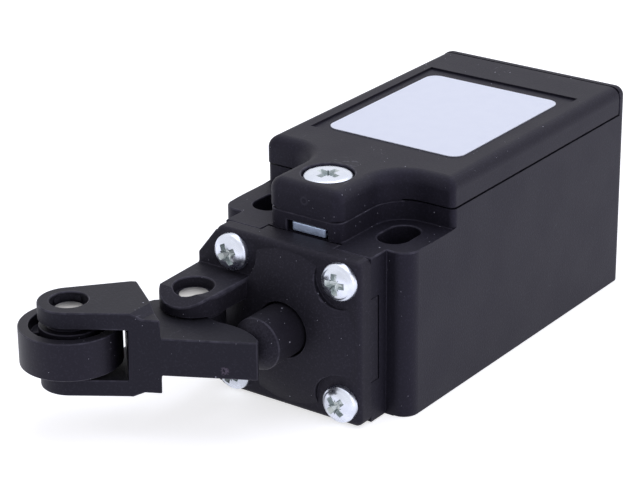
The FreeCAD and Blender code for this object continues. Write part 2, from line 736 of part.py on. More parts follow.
def cover():
    """Cover with a nose for its screw, a hollow below and a recess for the label."""
    back = S.body_back - S.lip_thickness - S.parting_gap
    half_nose = S.nose_width / 2 + S.cover_overhang
    nose_y = -S.nose_front - S.cover_overhang
    wide_y = S.wide_front - S.cover_lap
    notch = S.notch_radius - S.cover_overhang
    slab = prism("z", PARTING_Z, S.body_height, nose_outline(
        half_nose, nose_y, HALF_BODY, wide_y, back,
        S.corner_radius, notch))
    rounded = soften(slab, S.top_radius, lambda edge: top_edge(edge, back.value, -1))
    hollow = wide_box(HALF_CAVITY * 2, S.cavity_front, CAVITY_BACK, PARTING_Z,
                      S.body_height - S.cover_top_wall)
    recess = wide_box(S.recess_width, S.recess_front, S.recess_front + S.recess_length,
                      S.body_height - S.recess_depth, S.body_height)
    sink = rod("z", COVER_HEAD_Z - S.ring_height, S.body_height, 0, COVER_SCREW_Y,
               S.screw_head_radius + S.screw_play)
    hole = rod("z", PARTING_Z, S.body_height, 0, COVER_SCREW_Y,
               S.screw_radius + S.fit_gap)
    seam_top = PARTING_Z + S.seam_gap
    rim = prism("z", PARTING_Z, seam_top, nose_outline(
        half_nose, nose_y, HALF_BODY, wide_y, back,
        S.corner_radius, notch))
    land = prism("z", PARTING_Z, seam_top, nose_outline(
        half_nose - S.seam_depth, nose_y + S.seam_depth, HALF_BODY - S.seam_depth,
        wide_y + S.seam_depth, back, S.corner_radius, notch + S.seam_depth))
    return cut(rounded, hollow, recess, sink, hole, cut(rim, land))


def cover_gasket():
    """Gasket on the ledge of the housing, under the rim of the cover."""
    low = PARTING_Z - S.gasket_height
    outer = wide_box((HALF_CAVITY + S.gasket_width) * 2, S.cavity_front - S.gasket_width,
                     CAVITY_BACK + S.gasket_width, low, PARTING_Z)
    inner = wide_box(HALF_CAVITY * 2, S.cavity_front, CAVITY_BACK, low, PARTING_Z)
    return cut(outer, inner)


def cross_recess(axis, face, across, up, reach, width, depth):
    """Cutter for a cross recess that enters a screw head at face, along an axis."""
    wings = []
    for long_half, short_half in ((reach, width / 2), (width / 2, reach)):
        if axis == "z":
            wings.append(box(across - long_half, across + long_half, up - short_half,
                             up + short_half, face - depth, face))
        else:
            wings.append(box(across - long_half, across + long_half, face, face + depth,
                             up - short_half, up + short_half))
    return fuse(*wings)


def cover_screw():
    """Flat headed screw with a cross recess."""
    head_top = COVER_HEAD_Z + S.screw_head_height
    head_disc = rod("z", COVER_HEAD_Z, head_top, 0, COVER_SCREW_Y, S.screw_head_radius)
    shank = rod("z", COVER_HEAD_Z - S.screw_length, COVER_HEAD_Z, 0, COVER_SCREW_Y,
                S.screw_radius)
    recess = cross_recess("z", head_top, 0, COVER_SCREW_Y, S.drive_reach, S.drive_width,
                          S.drive_depth)
    return cut(fuse(head_disc, shank), recess)


def screw_ring():
    """Sealing ring below the head of the cover screw."""
    return ring("z", COVER_HEAD_Z - S.ring_height, COVER_HEAD_Z, 0, COVER_SCREW_Y,
                S.screw_head_radius, S.screw_radius + S.fit_gap)


def plate_nut():
    """Nut in the nose of the housing."""
    hole = rod("z", NUT_Z, NUT_Z + S.nut_thickness, 0, COVER_SCREW_Y,
               S.screw_radius + S.press_gap)
    return cut(nut_blank(size(0)), hole)


def rating_label():
    """Blank label in the recess of the cover."""
    low = S.body_height - S.recess_depth
    front = S.recess_front + S.label_front
    back = S.recess_front + S.recess_length - S.label_back
    half = S.recess_width / 2 - S.label_side
    return prism("z", low, low + S.label_thickness, [
        (-half, front, S.label_radius),
        (half, front, S.label_radius),
        (half, back, S.label_radius),
        (-half, back, S.label_radius),
    ])


# ------------------------------------------------------------------------------------------
# Operating head
# ------------------------------------------------------------------------------------------


def upper_ear():
    """Ear above the lever, with a tip that falls to the front."""
    low = AXIS_Z + S.ear_gap / 2
    high = low + S.ear_back_height
    front = PIVOT_Y - S.ear_radius
    left = PIVOT_X - S.ear_left
    right = PIVOT_X + S.ear_radius
    lobe = fuse(
        box(left, right, PIVOT_Y, PLATE_Y, low, high),
        rod("z", low, high, PIVOT_X, PIVOT_Y, S.ear_radius),
    )
    side = prism("x", left, right, [
        (front, low),
        (PLATE_Y, low),
        (PLATE_Y, high),
        (PIVOT_Y - S.ear_knee, low + S.ear_knee_height),
        (front, low + S.ear_tip_height),
    ])
    return common(lobe, side)


def head():
    """Head with a raised middle, tabs, and two ears that carry the lever pin."""
    half = HEAD_SIZE / 2
    plate = prism("y", PLATE_Y, JOINT_Y, [
        (AXIS_Z - half, -half, S.head_corner_radius),
        (AXIS_Z + half, -half, S.head_corner_radius),
        (AXIS_Z + half, half, S.head_corner_radius),
        (AXIS_Z - half, half, S.head_corner_radius),
    ])
    front = PLATE_Y.value
    softened = soften(plate, S.head_round, lambda edge: (
        abs(edge.BoundBox.YMin - front) < 1e-4 and abs(edge.BoundBox.YMax - front) < 1e-4))
    crown_y = PLATE_Y - S.crown_height
    foot_radius = half - S.head_round * 1.1
    slope = foot_radius - S.crown_radius
    raised = common(
        cone("y", crown_y, PLATE_Y, 0, AXIS_Z, S.crown_radius, foot_radius),
        rod("y", crown_y, PLATE_Y, 0, AXIS_Z, half),
    )
    crown = soften(raised, slope * slope * 2 * S.crown_blend / S.crown_height, lambda edge: (
        abs(edge.BoundBox.YMax - crown_y.value) < 1e-4))
    flank = prism("y", PLATE_Y, JOINT_Y, [
        (AXIS_Z + S.flank_foot, -half + S.head_round),
        (AXIS_Z + S.flank_foot, -half),
        (AXIS_Z + S.flank_half, PIVOT_X - S.ear_left),
        (AXIS_Z - S.flank_half, PIVOT_X - S.ear_left),
        (AXIS_Z - S.flank_foot, -half),
        (AXIS_Z - S.flank_foot, -half + S.head_round),
    ])
    pockets = [
        rod("y", crown_y, PLATE_Y, x, z, S.pocket_radius) for x, z in head_screw_places()
    ]
    solid = fuse(softened, cut(crown, *pockets), flank, *both_sides(upper_ear(), "z", AXIS_Z),
                 *tab_blocks(size(0)))
    bore = rod("y", crown_y, JOINT_Y, 0, AXIS_Z, S.plunger_radius + S.bore_gap)
    screw_holes = [
        rod("y", PLATE_Y, JOINT_Y, x, z, S.head_screw_radius + S.fit_gap)
        for x, z in head_screw_places()
    ]
    half_pin = S.pin_length / 2
    pin_hole = rod("z", AXIS_Z - half_pin, AXIS_Z + half_pin, PIVOT_X, PIVOT_Y,
                   S.pin_radius + S.press_gap)
    sink = rod("z", AXIS_Z + half_pin - S.pin_stand, AXIS_Z + half_pin + S.ear_back_height,
               PIVOT_X, PIVOT_Y, S.sink_radius)
    return cut(solid, bore, *screw_holes, pin_hole, *both_sides(sink, "z", AXIS_Z))


def head_screw(x, z):
    """Pan headed screw that holds the head."""
    face = PLATE_Y - S.head_screw_height
    cap = common(
        rod("y", face, PLATE_Y, x, z, S.head_screw_cap),
        ball(x, face + S.head_screw_dome, z, S.head_screw_dome),
    )
    shank = rod("y", PLATE_Y, PLATE_Y + S.head_screw_length, x, z, S.head_screw_radius)
    return cut(fuse(cap, shank), cross_recess("y", face, x, z, S.drive_reach,
                                              S.drive_width, S.drive_depth))


def head_gasket():
    """Gasket between the head and the neck."""
    return ring("y", JOINT_Y, JOINT_Y + S.seal_thickness, 0, AXIS_Z, S.head_gasket_outer,
                S.head_gasket_inner)


def plunger_seal():
    """Seal round the plunger."""
    return ring("y", JOINT_Y, JOINT_Y + S.seal_thickness, 0, AXIS_Z, S.seal_radius,
                S.plunger_radius + S.fit_gap)


def plunger():
    """Plunger with a rounded end, a collar and a stem."""
    dome_y = JOINT_Y - S.dome_front
    dome = common(
        ball(0, dome_y, AXIS_Z, S.dome_radius),
        rod("y", dome_y - S.dome_radius, dome_y, 0, AXIS_Z, S.plunger_radius),
    )
    shaft = rod("y", dome_y, COLLAR_Y, 0, AXIS_Z, S.plunger_radius)
    collar = rod("y", COLLAR_Y, COLLAR_BACK, 0, AXIS_Z, S.collar_radius)
    stem = rod("y", COLLAR_BACK, S.stem_back, 0, AXIS_Z, S.stem_radius)
    return fuse(dome, shaft, collar, stem)


def plunger_spring():
    """Spring between the collar of the plunger and its seat in the housing."""
    return coil("y", COLLAR_BACK + S.spring_gap, S.spring_seat - S.spring_gap, 0, AXIS_Z,
                S.plunger_coil, S.plunger_wire, S.spring_turns)


def lever_pin():
    """Pin through both ears."""
    half = S.pin_length / 2
    return rod("z", AXIS_Z - half, AXIS_Z + half, PIVOT_X, PIVOT_Y, S.pin_radius)


# ------------------------------------------------------------------------------------------
# Lever and roller
# ------------------------------------------------------------------------------------------


def lever_arm():
    """Hub and arm, with the curved pad that rests on the plunger."""
    low = AXIS_Z - S.lever_thickness / 2
    high = AXIS_Z + S.lever_thickness / 2
    tip_x = PIVOT_X + S.tip_right
    tip_y = PIVOT_Y - S.tip_front
    run_x = (tip_x - ELBOW[0]) / 3
    run_y = (tip_y - ELBOW[1]) / 3
    pad_x = PIVOT_X + S.pad_right
    pad_y = PIVOT_Y - S.pad_front
    right = prism("z", low, high, [
        ELBOW, (tip_x, tip_y), (tip_x - run_y, tip_y + run_x), (PIVOT_X, PIVOT_Y),
    ])
    pad = common(right, rod("z", low, high, pad_x, pad_y, S.pad_radius))
    pad_end_x = pad_x - S.pad_radius * S.pad_end_angle.sin()
    pad_end_y = pad_y + S.pad_radius * S.pad_end_angle.cos()
    left = prism("z", low, high, [
        ELBOW,
        (pad_end_x, pad_end_y),
        (PIVOT_X, pad_end_y),
        (PIVOT_X, PIVOT_Y),
        (PIVOT_X - S.hub_radius, PIVOT_Y),
        (PIVOT_X - S.heel_left, PIVOT_Y - S.heel_front),
        BLOCK_CORNER,
    ])
    return pad, left, rod("z", low, high, PIVOT_X, PIVOT_Y, S.hub_radius)


def fork():
    """Fork block with a rounded end round the roller pin."""
    centre_x = ROLLER_X + S.fork_offset * FORK_TURN.sin()
    centre_y = ROLLER_Y - S.fork_offset * FORK_TURN.cos()
    block = prism("z", FORK_BOTTOM, FORK_TOP, [
        ELBOW,
        BLOCK_CORNER,
        (PIVOT_X - S.fork_back_left, PIVOT_Y - S.fork_back_front),
        (centre_x - S.fork_radius * S.fork_back_angle.sin(),
         centre_y + S.fork_radius * S.fork_back_angle.cos()),
        (centre_x, centre_y),
        (centre_x + S.fork_radius * S.fork_front_angle.sin(),
         centre_y - S.fork_radius * S.fork_front_angle.cos()),
        (PIVOT_X - S.bend_left, PIVOT_Y - S.bend_front),
    ])
    return block, rod("z", FORK_BOTTOM, FORK_TOP, centre_x, centre_y, S.fork_radius)


def fork_slot():
    """Cutter for the slot that holds the roller, square to the middle line of the fork."""
    half = S.roller_radius * 2
    deep = S.roller_radius + S.roller_gap

    def corner(forward, aside):
        x = ROLLER_X + FORK_TURN.cos() * forward - FORK_TURN.sin() * aside
        y = ROLLER_Y + FORK_TURN.sin() * forward + FORK_TURN.cos() * aside
        return x, y

    return prism("z", AXIS_Z - S.fork_opening / 2, AXIS_Z + S.fork_opening / 2, [
        corner(-half, -half), corner(deep, -half), corner(deep, half), corner(-half, half),
    ])


def fork_facet():
    """Cutter that lowers the upper corner of the fork block, with a slope up to the fork."""
    start = PIVOT_X - S.facet_left
    end = start + S.facet_run
    past = ELBOW[0] + S.facet_run
    return prism("y", PIVOT_Y - S.bend_front - S.facet_run, PIVOT_Y - S.block_front, [
        (FORK_TOP, start),
        (FORK_TOP - S.facet_drop, end),
        (FORK_TOP - S.facet_drop, past),
        (FORK_TOP + S.facet_drop, past),
        (FORK_TOP + S.facet_drop, start),
    ])


def lever():
    """Lever with its hub, pad and fork."""
    blank = fuse(*lever_arm(), *fork())
    bore = rod("z", FORK_BOTTOM, FORK_TOP, PIVOT_X, PIVOT_Y, S.pin_radius + S.running_gap)
    hole = rod("z", FORK_BOTTOM, FORK_TOP, ROLLER_X, ROLLER_Y,
               S.roller_pin_radius + S.press_gap)
    sink = rod("z", FORK_TOP - S.roller_pin_sink - S.roller_pin_stand, FORK_TOP, ROLLER_X,
               ROLLER_Y, S.roller_sink_radius)
    return cut(blank, fork_slot(), bore, hole, *both_sides(sink, "z", AXIS_Z),
               *both_sides(fork_facet(), "z", AXIS_Z))


def roller():
    """Moulded roller with a ring groove in each face and a boss that spaces it."""
    half = S.roller_width / 2
    bosses = S.fork_opening / 2 - S.side_play
    centre = (ROLLER_X, ROLLER_Y)
    groove = ring("z", AXIS_Z + half - S.groove_depth, AXIS_Z + half, *centre,
                  S.groove_outer, S.groove_inner)
    wheel = fuse(
        rod("z", AXIS_Z - half, AXIS_Z + half, *centre, S.roller_radius),
        rod("z", AXIS_Z - bosses, AXIS_Z + bosses, *centre, S.boss_radius),
    )
    bore = rod("z", AXIS_Z - bosses, AXIS_Z + bosses, *centre,
               S.roller_pin_radius + S.running_gap)
    return cut(wheel, bore, *both_sides(groove, "z", AXIS_Z))


def roller_pin():
    """Pin through the fork."""
    half = S.fork_height / 2 - S.roller_pin_sink
    return rod("z", AXIS_Z - half, AXIS_Z + half, ROLLER_X, ROLLER_Y, S.roller_pin_radius)


# ------------------------------------------------------------------------------------------
# Contact block
# ------------------------------------------------------------------------------------------


def block_case():
    """Insulating case with a room for the contacts and a platform for the terminals."""
    body = fuse(
        wide_box(CASE_WIDTH, S.case_front, S.lid_back, S.wall, CASE_TOP),
        wide_box(CASE_WIDTH, S.case_front, S.case_back, S.wall, PLATFORM_Z),
    )
    inner_y = S.case_front + S.case_wall
    room = wide_box(ROOM_WIDTH, inner_y, S.room_back, S.wall + S.case_wall, CASE_TOP)
    channel = wide_box(ROOM_WIDTH, inner_y, S.lid_back, PLATFORM_Z, CASE_TOP)
    hole = rod("y", S.case_front, inner_y, 0, AXIS_Z, S.case_hole_radius)
    spring_bore = rod("y", S.room_back, S.return_seat, 0, AXIS_Z, S.return_bore_radius)
    bottom = STRIP_TOP + S.clamp_thickness - S.terminal_length - S.screw_tip_gap
    screw_holes = [
        rod("z", bottom, PLATFORM_Z, x, S.terminal_back, S.terminal_radius + S.press_gap)
        for x in TERMINALS
    ]
    return cut(body, room, channel, hole, spring_bore, *screw_holes)


def block_lid():
    """Lid of the contact block."""
    return wide_box(CASE_WIDTH, S.case_front, S.lid_back, CASE_TOP,
                    CASE_TOP + S.lid_thickness)


def contact_carrier():
    """Sliding carrier with a window for each moving bridge."""
    half = S.carrier_height / 2
    nose = rod("y", CARRIER_TIP, CARRIER_Y, 0, AXIS_Z, S.carrier_nose_radius)
    body = wide_box(S.carrier_width, CARRIER_Y, CARRIER_BACK, AXIS_Z - half, AXIS_Z + half)
    tail = rod("y", CARRIER_BACK, CARRIER_BACK + S.tail_length, 0, AXIS_Z, S.tail_radius)
    window_half = S.bridge_height / 2 + S.bridge_play
    windows = [
        wide_box(S.carrier_width, start, end, AXIS_Z - window_half, AXIS_Z + window_half)
        for start, end in (
            (CARRIER_Y + S.carrier_bar, MIDDLE_BAR_Y),
            (MIDDLE_BAR_Y + S.carrier_bar, CARRIER_BACK - S.carrier_bar),
        )
    ]
    return cut(fuse(nose, body, tail), *windows)


def bridge(aside, start, tip_start):
    """Moving contact bridge with a tip near each end."""
    half = S.bridge_height / 2
    bar = wide_box(aside * 2 + S.strip_width, start, start + S.strip, AXIS_Z - half,
                   AXIS_Z + half)
    tips = [
        rod("y", tip_start, tip_start + S.tip_height, x, AXIS_Z, S.tip_radius)
        for x in (-aside, aside)
    ]
    return fuse(bar, *tips)


def opening_bridge():
    """Bridge of the contact that opens when the lever is pushed."""
    return bridge(OUTER_ASIDE, OPENING_BRIDGE_Y, OPENING_BRIDGE_Y - S.tip_height)


def closing_bridge():
    """Bridge of the contact that closes when the lever is pushed."""
    return bridge(INNER_ASIDE, CLOSING_BRIDGE_Y, CLOSING_BRIDGE_Y + S.strip)


def contact_spring(start):
    """Spring that presses a bridge, inside its window."""
    return coil("y", start + S.fit_gap, start + S.fit_gap + S.contact_spring_length, 0,
                AXIS_Z, S.contact_coil, S.contact_wire, S.spring_turns)


def return_spring():
    """Spring that brings the carrier back."""
    return coil("y", CARRIER_BACK + S.spring_gap, S.return_seat - S.spring_gap, 0, AXIS_Z,
                S.return_coil, S.return_wire, S.spring_turns * 1.4)


def fixed_contact(aside, tab_y, tip_y, terminal_x):
    """Brass strip from a contact tip up and back to its terminal plate, on the right."""
    half = S.strip_width / 2
    half_plate = S.terminal_plate / 2
    plate_y = S.terminal_back - half_plate
    tab = box(aside - half, aside + half, tab_y, tab_y + S.strip,
              AXIS_Z - S.bridge_height / 2, STRIP_TOP)
    strip = box(aside - half, aside + half, tab_y, plate_y + S.strip, PLATFORM_Z, STRIP_TOP)
    plate = box(terminal_x - half_plate, terminal_x + half_plate, plate_y,
                plate_y + S.terminal_plate, PLATFORM_Z, STRIP_TOP)
    tip = rod("y", tip_y, tip_y + S.tip_height, aside, AXIS_Z, S.tip_radius)
    hole = rod("z", PLATFORM_Z, STRIP_TOP, terminal_x, S.terminal_back,
               S.terminal_radius + S.fit_gap)
    return cut(fuse(tab, strip, plate, tip), hole)


def opening_contact():
    """Right-hand fixed contact of the opening pair, in front of its bridge."""
    tip_y = OPENING_BRIDGE_Y - S.tip_height * 2 - S.contact_gap
    return fixed_contact(OUTER_ASIDE, tip_y - S.strip, tip_y, TERMINALS[3])


def closing_contact():
    """Right-hand fixed contact of the closing pair, one stroke behind its bridge."""
    tip_y = CLOSING_BRIDGE_Y + S.strip + S.tip_height + S.stroke + S.contact_gap
    return fixed_contact(INNER_ASIDE, tip_y + S.tip_height, tip_y, TERMINALS[2])


def terminal_screw(x):
    """Screw that clamps a wire, with a cross recess."""
    seat = STRIP_TOP + S.clamp_thickness
    top = seat + S.terminal_cap_height
    cap = rod("z", seat, top, x, S.terminal_back, S.terminal_cap)
    shank = rod("z", seat - S.terminal_length, seat, x, S.terminal_back, S.terminal_radius)
    recess = cross_recess("z", top, x, S.terminal_back, S.drive_reach, S.drive_width,
                          S.drive_depth)
    return cut(fuse(cap, shank), recess)


def terminal_clamp(x):
    """Square clamp below a terminal screw."""
    half = S.clamp_width / 2
    plate = wide_box(S.clamp_width, S.terminal_back - half, S.terminal_back + half,
                     STRIP_TOP, STRIP_TOP + S.clamp_thickness, x)
    hole = rod("z", STRIP_TOP, STRIP_TOP + S.clamp_thickness, x, S.terminal_back,
               S.terminal_radius + S.fit_gap)
    return cut(plate, hole)


# ------------------------------------------------------------------------------------------
# Assembly
# ------------------------------------------------------------------------------------------

node("housing", housing())
node("cover", cover())
node("cover_gasket", cover_gasket())
node("cover_screw", cover_screw())
node("screw_ring", screw_ring())
node("plate_nut", plate_nut())
node("rating_label", rating_label())
node("head", head())
group("head_screws", [head_screw(x, z) for x, z in head_screw_places()])
node("head_gasket", head_gasket())
node("plunger_seal", plunger_seal())
node("plunger", plunger())
node("plunger_spring", plunger_spring())
node("lever_pin", lever_pin())
node("lever", lever())
node("roller", roller())
node("roller_pin", roller_pin())
node("block_case", block_case())
node("block_lid", block_lid())
node("contact_carrier", contact_carrier())
node("opening_bridge", opening_bridge())
node("closing_bridge", closing_bridge())
node("opening_spring", contact_spring(OPENING_BRIDGE_Y + S.strip))
node("closing_spring", contact_spring(MIDDLE_BAR_Y + S.carrier_bar))
node("return_spring", return_spring())
for name, right_contact in (("opening", opening_contact()), ("closing", closing_contact())):
    node(f"{name}_contact_right", right_contact)
    node(f"{name}_contact_left", mirrored(right_contact, "x"))
group("terminal_screws", [terminal_screw(x) for x in TERMINALS])
group("terminal_clamps", [terminal_clamp(x) for x in TERMINALS])

doc.recompute()

for item in doc.Objects:
    if "Invalid" in item.State or "Error" in item.State:
        raise RuntimeError(f"{item.Name} failed: {item.State}")

for label, piece in NODES.items():
    if piece.Shape.isNull() or not piece.Shape.isValid():
        raise RuntimeError(f"{label} has no valid shape")
    piece.Shape.exportStep(f"parts/{label}.step")
    bounds = piece.Shape.BoundBox
    print(f"{label}: {len(piece.Shape.Solids)} solid(s), {piece.Shape.Volume:.1f} mm3, "
          f"{bounds.XLength:.1f} x {bounds.YLength:.1f} x {bounds.ZLength:.1f} mm")
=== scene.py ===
# %% [markdown]
# # A limit switch, piece by piece
#
# The frame brings the exact solids of the switch: housing, cover, head, lever and roller, and
# the contact block inside.  This lesson keeps every one of them in its place.  It rounds their
# edges the way a mould does, adds the small things that a drawing leaves out, and gives each
# piece the finish that it has on the real object.

# %% Load the frame
import json
import math

import bmesh
import bpy
from mathutils import Matrix, Vector
from mathutils.bvhtree import BVHTree
from mathutils.geometry import area_tri, delaunay_2d_cdt
from mathutils.interpolate import poly_3d_calc
from mathutils.kdtree import KDTree

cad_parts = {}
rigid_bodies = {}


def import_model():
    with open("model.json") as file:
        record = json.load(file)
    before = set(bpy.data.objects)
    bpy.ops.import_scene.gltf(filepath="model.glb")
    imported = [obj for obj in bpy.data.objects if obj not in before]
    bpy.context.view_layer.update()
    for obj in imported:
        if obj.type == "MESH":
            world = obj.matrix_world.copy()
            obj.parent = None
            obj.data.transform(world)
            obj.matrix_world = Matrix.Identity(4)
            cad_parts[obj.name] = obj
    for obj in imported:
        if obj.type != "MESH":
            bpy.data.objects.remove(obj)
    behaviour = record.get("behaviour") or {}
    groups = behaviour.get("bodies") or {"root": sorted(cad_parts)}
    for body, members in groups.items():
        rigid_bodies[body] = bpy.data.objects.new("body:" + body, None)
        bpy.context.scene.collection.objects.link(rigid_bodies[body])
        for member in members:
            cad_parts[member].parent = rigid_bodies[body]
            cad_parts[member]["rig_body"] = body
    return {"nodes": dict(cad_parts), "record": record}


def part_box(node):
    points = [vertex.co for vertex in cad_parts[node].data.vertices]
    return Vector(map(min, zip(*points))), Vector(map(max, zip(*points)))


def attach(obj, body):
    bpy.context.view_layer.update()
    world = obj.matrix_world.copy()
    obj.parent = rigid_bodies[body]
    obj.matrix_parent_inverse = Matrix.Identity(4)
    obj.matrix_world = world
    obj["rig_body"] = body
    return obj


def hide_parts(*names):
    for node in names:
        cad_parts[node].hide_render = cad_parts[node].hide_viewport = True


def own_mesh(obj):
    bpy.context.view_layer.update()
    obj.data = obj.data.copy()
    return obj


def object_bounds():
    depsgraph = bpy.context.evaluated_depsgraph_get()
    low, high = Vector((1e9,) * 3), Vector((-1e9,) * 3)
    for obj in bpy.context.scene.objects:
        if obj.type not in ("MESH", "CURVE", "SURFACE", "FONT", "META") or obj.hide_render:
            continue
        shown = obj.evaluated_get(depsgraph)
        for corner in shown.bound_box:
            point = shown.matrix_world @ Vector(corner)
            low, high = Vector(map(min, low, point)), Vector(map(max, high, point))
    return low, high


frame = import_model()
cad_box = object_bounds()
nodes = frame["nodes"]
record = frame["record"]
print("nodes:", len(nodes), "box:", cad_box)

# %% [markdown]
# ## Millimetres and screen colours
#
# The switch is drawn in millimetres, so lengths below are millimetres too, and `MM` turns
# them into Blender's metres.  Colours are written as they look on a screen, from 0 to 255,
# and `paint` turns them into the linear numbers that shaders use.  Both could be worked out
# by hand at each use, but a number that matches the drawing or the eye is easier to check.

# %% Units and colours
MM = 0.001


def point(x, y, z):
    """A place in millimetres, as Blender wants it."""
    return Vector((x, y, z)) * MM


def paint(red, green, blue):
    """A screen colour as linear shader numbers."""
    def linear(part):
        share = part / 255
        return share / 12.92 if share <= 0.04045 else ((share + 0.055) / 1.055) ** 2.4
    return linear(red), linear(green), linear(blue), 1.0


def tinted(colour, factor):
    """The same colour, lighter or darker by a factor."""
    return tuple(min(1.0, factor * part) for part in colour[:3]) + (1.0,)


print("charcoal is", [round(part, 4) for part in paint(30, 29, 33)])

# %% [markdown]
# ## Shader maths in plain Python
#
# A finish is mostly arithmetic: a speck mask times a strength, one minus a mask, a noise
# compared with a limit.  Wiring that by hand hides the idea, so `Wire` holds one output of a
# node and turns each operator into a Math node.  Colours and vectors never pass through
# those, because a Math node would turn them grey.

# %% A socket that can be added up
class Wire:
    """One output of a shader node."""

    def __init__(self, finish, socket):
        self.finish = finish
        self.socket = socket

    def maths(self, operation, *terms):
        settings = {"operation": operation}
        return self.finish.node("ShaderNodeMath", settings, dict(enumerate(terms)))

    def __add__(self, other):
        return self.maths("ADD", self, other)

    def __radd__(self, other):
        return self.maths("ADD", other, self)

    def __sub__(self, other):
        return self.maths("SUBTRACT", self, other)

    def __rsub__(self, other):
        return self.maths("SUBTRACT", other, self)

    def __mul__(self, other):
        return self.maths("MULTIPLY", self, other)

    def __rmul__(self, other):
        return self.maths("MULTIPLY", other, self)

    def __lt__(self, other):
        return self.maths("LESS_THAN", self, other)

    def __gt__(self, other):
        return self.maths("GREATER_THAN", self, other)


operators = [name for name in vars(Wire) if name[2:-2] in
             ("add", "radd", "sub", "rsub", "mul", "rmul", "lt", "gt")]
print("operators that make a Math node:", operators)

# %% [markdown]
# ### One method for every other node
#
# A node needs a type, settings that must come first, and what goes into its sockets, which
# is either a value or another node's output.  `node` takes just these three, so a material
# reads from top to bottom like a recipe.  The same few methods serve the plastics, the floor
# and the world.

# %% A node tree under construction
class Nodes:
    """A node tree.  Every node in it comes from node()."""

    def __init__(self, tree, shader):
        self.tree = tree
        self.shader = tree.nodes[shader]

    def node(self, kind, settings, sockets, output=0):
        made = self.tree.nodes.new(kind)
        for name, setting in settings.items():
            setattr(made, name, setting)
        for name, given in sockets.items():
            self.feed(made.inputs[name], given)
        return Wire(self, made.outputs[output])

    def feed(self, socket, given):
        if isinstance(given, Wire):
            self.tree.links.new(given.socket, socket)
        else:
            socket.default_value = given

    def set(self, **sockets):
        """Values or links for the main shader, such as Base_Color."""
        for name, given in sockets.items():
            self.feed(self.shader.inputs[name.replace("_", " ")], given)

    def blend(self, first, second, share):
        """Two colours, mixed by share."""
        factor, colour_a, colour_b, mixed_colour = 0, 6, 7, 2
        return self.node("ShaderNodeMix", {"data_type": "RGBA"},
                         {factor: share, colour_a: first, colour_b: second}, mixed_colour)


print("a tree has the methods", [name for name in vars(Nodes) if name[0] != "_"])

# %% [markdown]
# ### Patterns with a size in millimetres
#
# Noise in a shader has no size of its own, and a grain that is right on the roller is wrong
# on the housing if it is stretched over each piece.  All patterns here are placed by the
# object's own coordinates and take their size in millimetres, so grain, dust and patches
# have the same scale on every piece.

# %% A finish and its patterns
class Finish(Nodes):
    """A material, with patterns that know their real size."""

    def __init__(self, name):
        self.material = bpy.data.materials.new(name)
        self.material.use_nodes = True
        super().__init__(self.material.node_tree, "Principled BSDF")
        self.place = self.node("ShaderNodeTexCoord", {}, {}, "Object")

    def cloud(self, size, detail=2.0, stretch=(1.0, 1.0, 1.0)):
        """Soft noise whose lumps are about size across."""
        where = self.node("ShaderNodeMapping", {"vector_type": "POINT"},
                          {"Vector": self.place, "Scale": stretch})
        return self.node("ShaderNodeTexNoise", {"noise_dimensions": "3D"},
                         {"Vector": where, "Scale": 1 / (size * MM), "Detail": detail}, "Fac")

    def window(self, signal, low, high):
        """0 below low, 1 above high, and a smooth step between them."""
        return self.node("ShaderNodeMapRange", {"interpolation_type": "SMOOTHSTEP"},
                         {"Value": signal, "From Min": low, "From Max": high})

    def specks(self, pitch, size, share):
        """Dust: round dots in a loose field.  About share of the cells hold one."""
        field = {"Vector": self.place, "Scale": 1 / (pitch * MM)}
        cells, lucky = (self.node("ShaderNodeTexVoronoi", {"feature": "F1"}, field, output)
                        for output in ("Distance", "Color"))
        chance = self.node("ShaderNodeSeparateColor", {}, {"Color": lucky}, "Red")
        core, rim = 0.6 * size / pitch, size / pitch
        return (1 - self.window(cells, core, rim)) * (chance < share)

    def spot(self, x, y, z, radius):
        """1 at a place, falling to 0 at radius from it."""
        away = self.node("ShaderNodeVectorMath", {"operation": "DISTANCE"},
                         {0: self.place, 1: point(x, y, z)}, "Value")
        return 1 - self.window(away, 0.5 * radius * MM, radius * MM)

    def edge(self):
        """1 on the rounded edges that stand proud, 0 elsewhere."""
        return self.node("ShaderNodeAttribute", {"attribute_name": "edge"}, {}, "Fac")

    def grain(self, height, depth, under=None):
        """Bump of so many millimetres, on top of another one if given."""
        sockets = {"Height": height, "Distance": depth * MM, "Strength": 1.0}
        if under:
            sockets["Normal"] = under
        return self.node("ShaderNodeBump", {}, sockets, "Normal")


print("patterns:", [name for name in vars(Finish) if name[0] != "_"])

# %% [markdown]
# ## Black moulded plastic
#
# Housing, cover, head, lever and plunger are glass-filled plastic from a spark-eroded mould.
# Such a skin is charcoal rather than black, with a grain finer than a fifth of a millimetre,
# faint cloudy patches where the fibres lie differently, edges a little paler, partly from
# rubbing and partly as a painted highlight, and white dust.  One function makes them all, so
# that they stay one family, and its numbers are what sets the satin lever apart from the matt
# housing.

# %% The recipe for black plastic
# Colour of the proud edges: partly rub wear, partly a painted highlight line along them.
EDGE_WEAR_AND_HIGHLIGHT = paint(104, 102, 114)
SCUFFED = paint(112, 111, 122)
DUST = paint(190, 190, 202)
COOL_SHEEN = (0.75, 0.71, 1.0, 1.0)


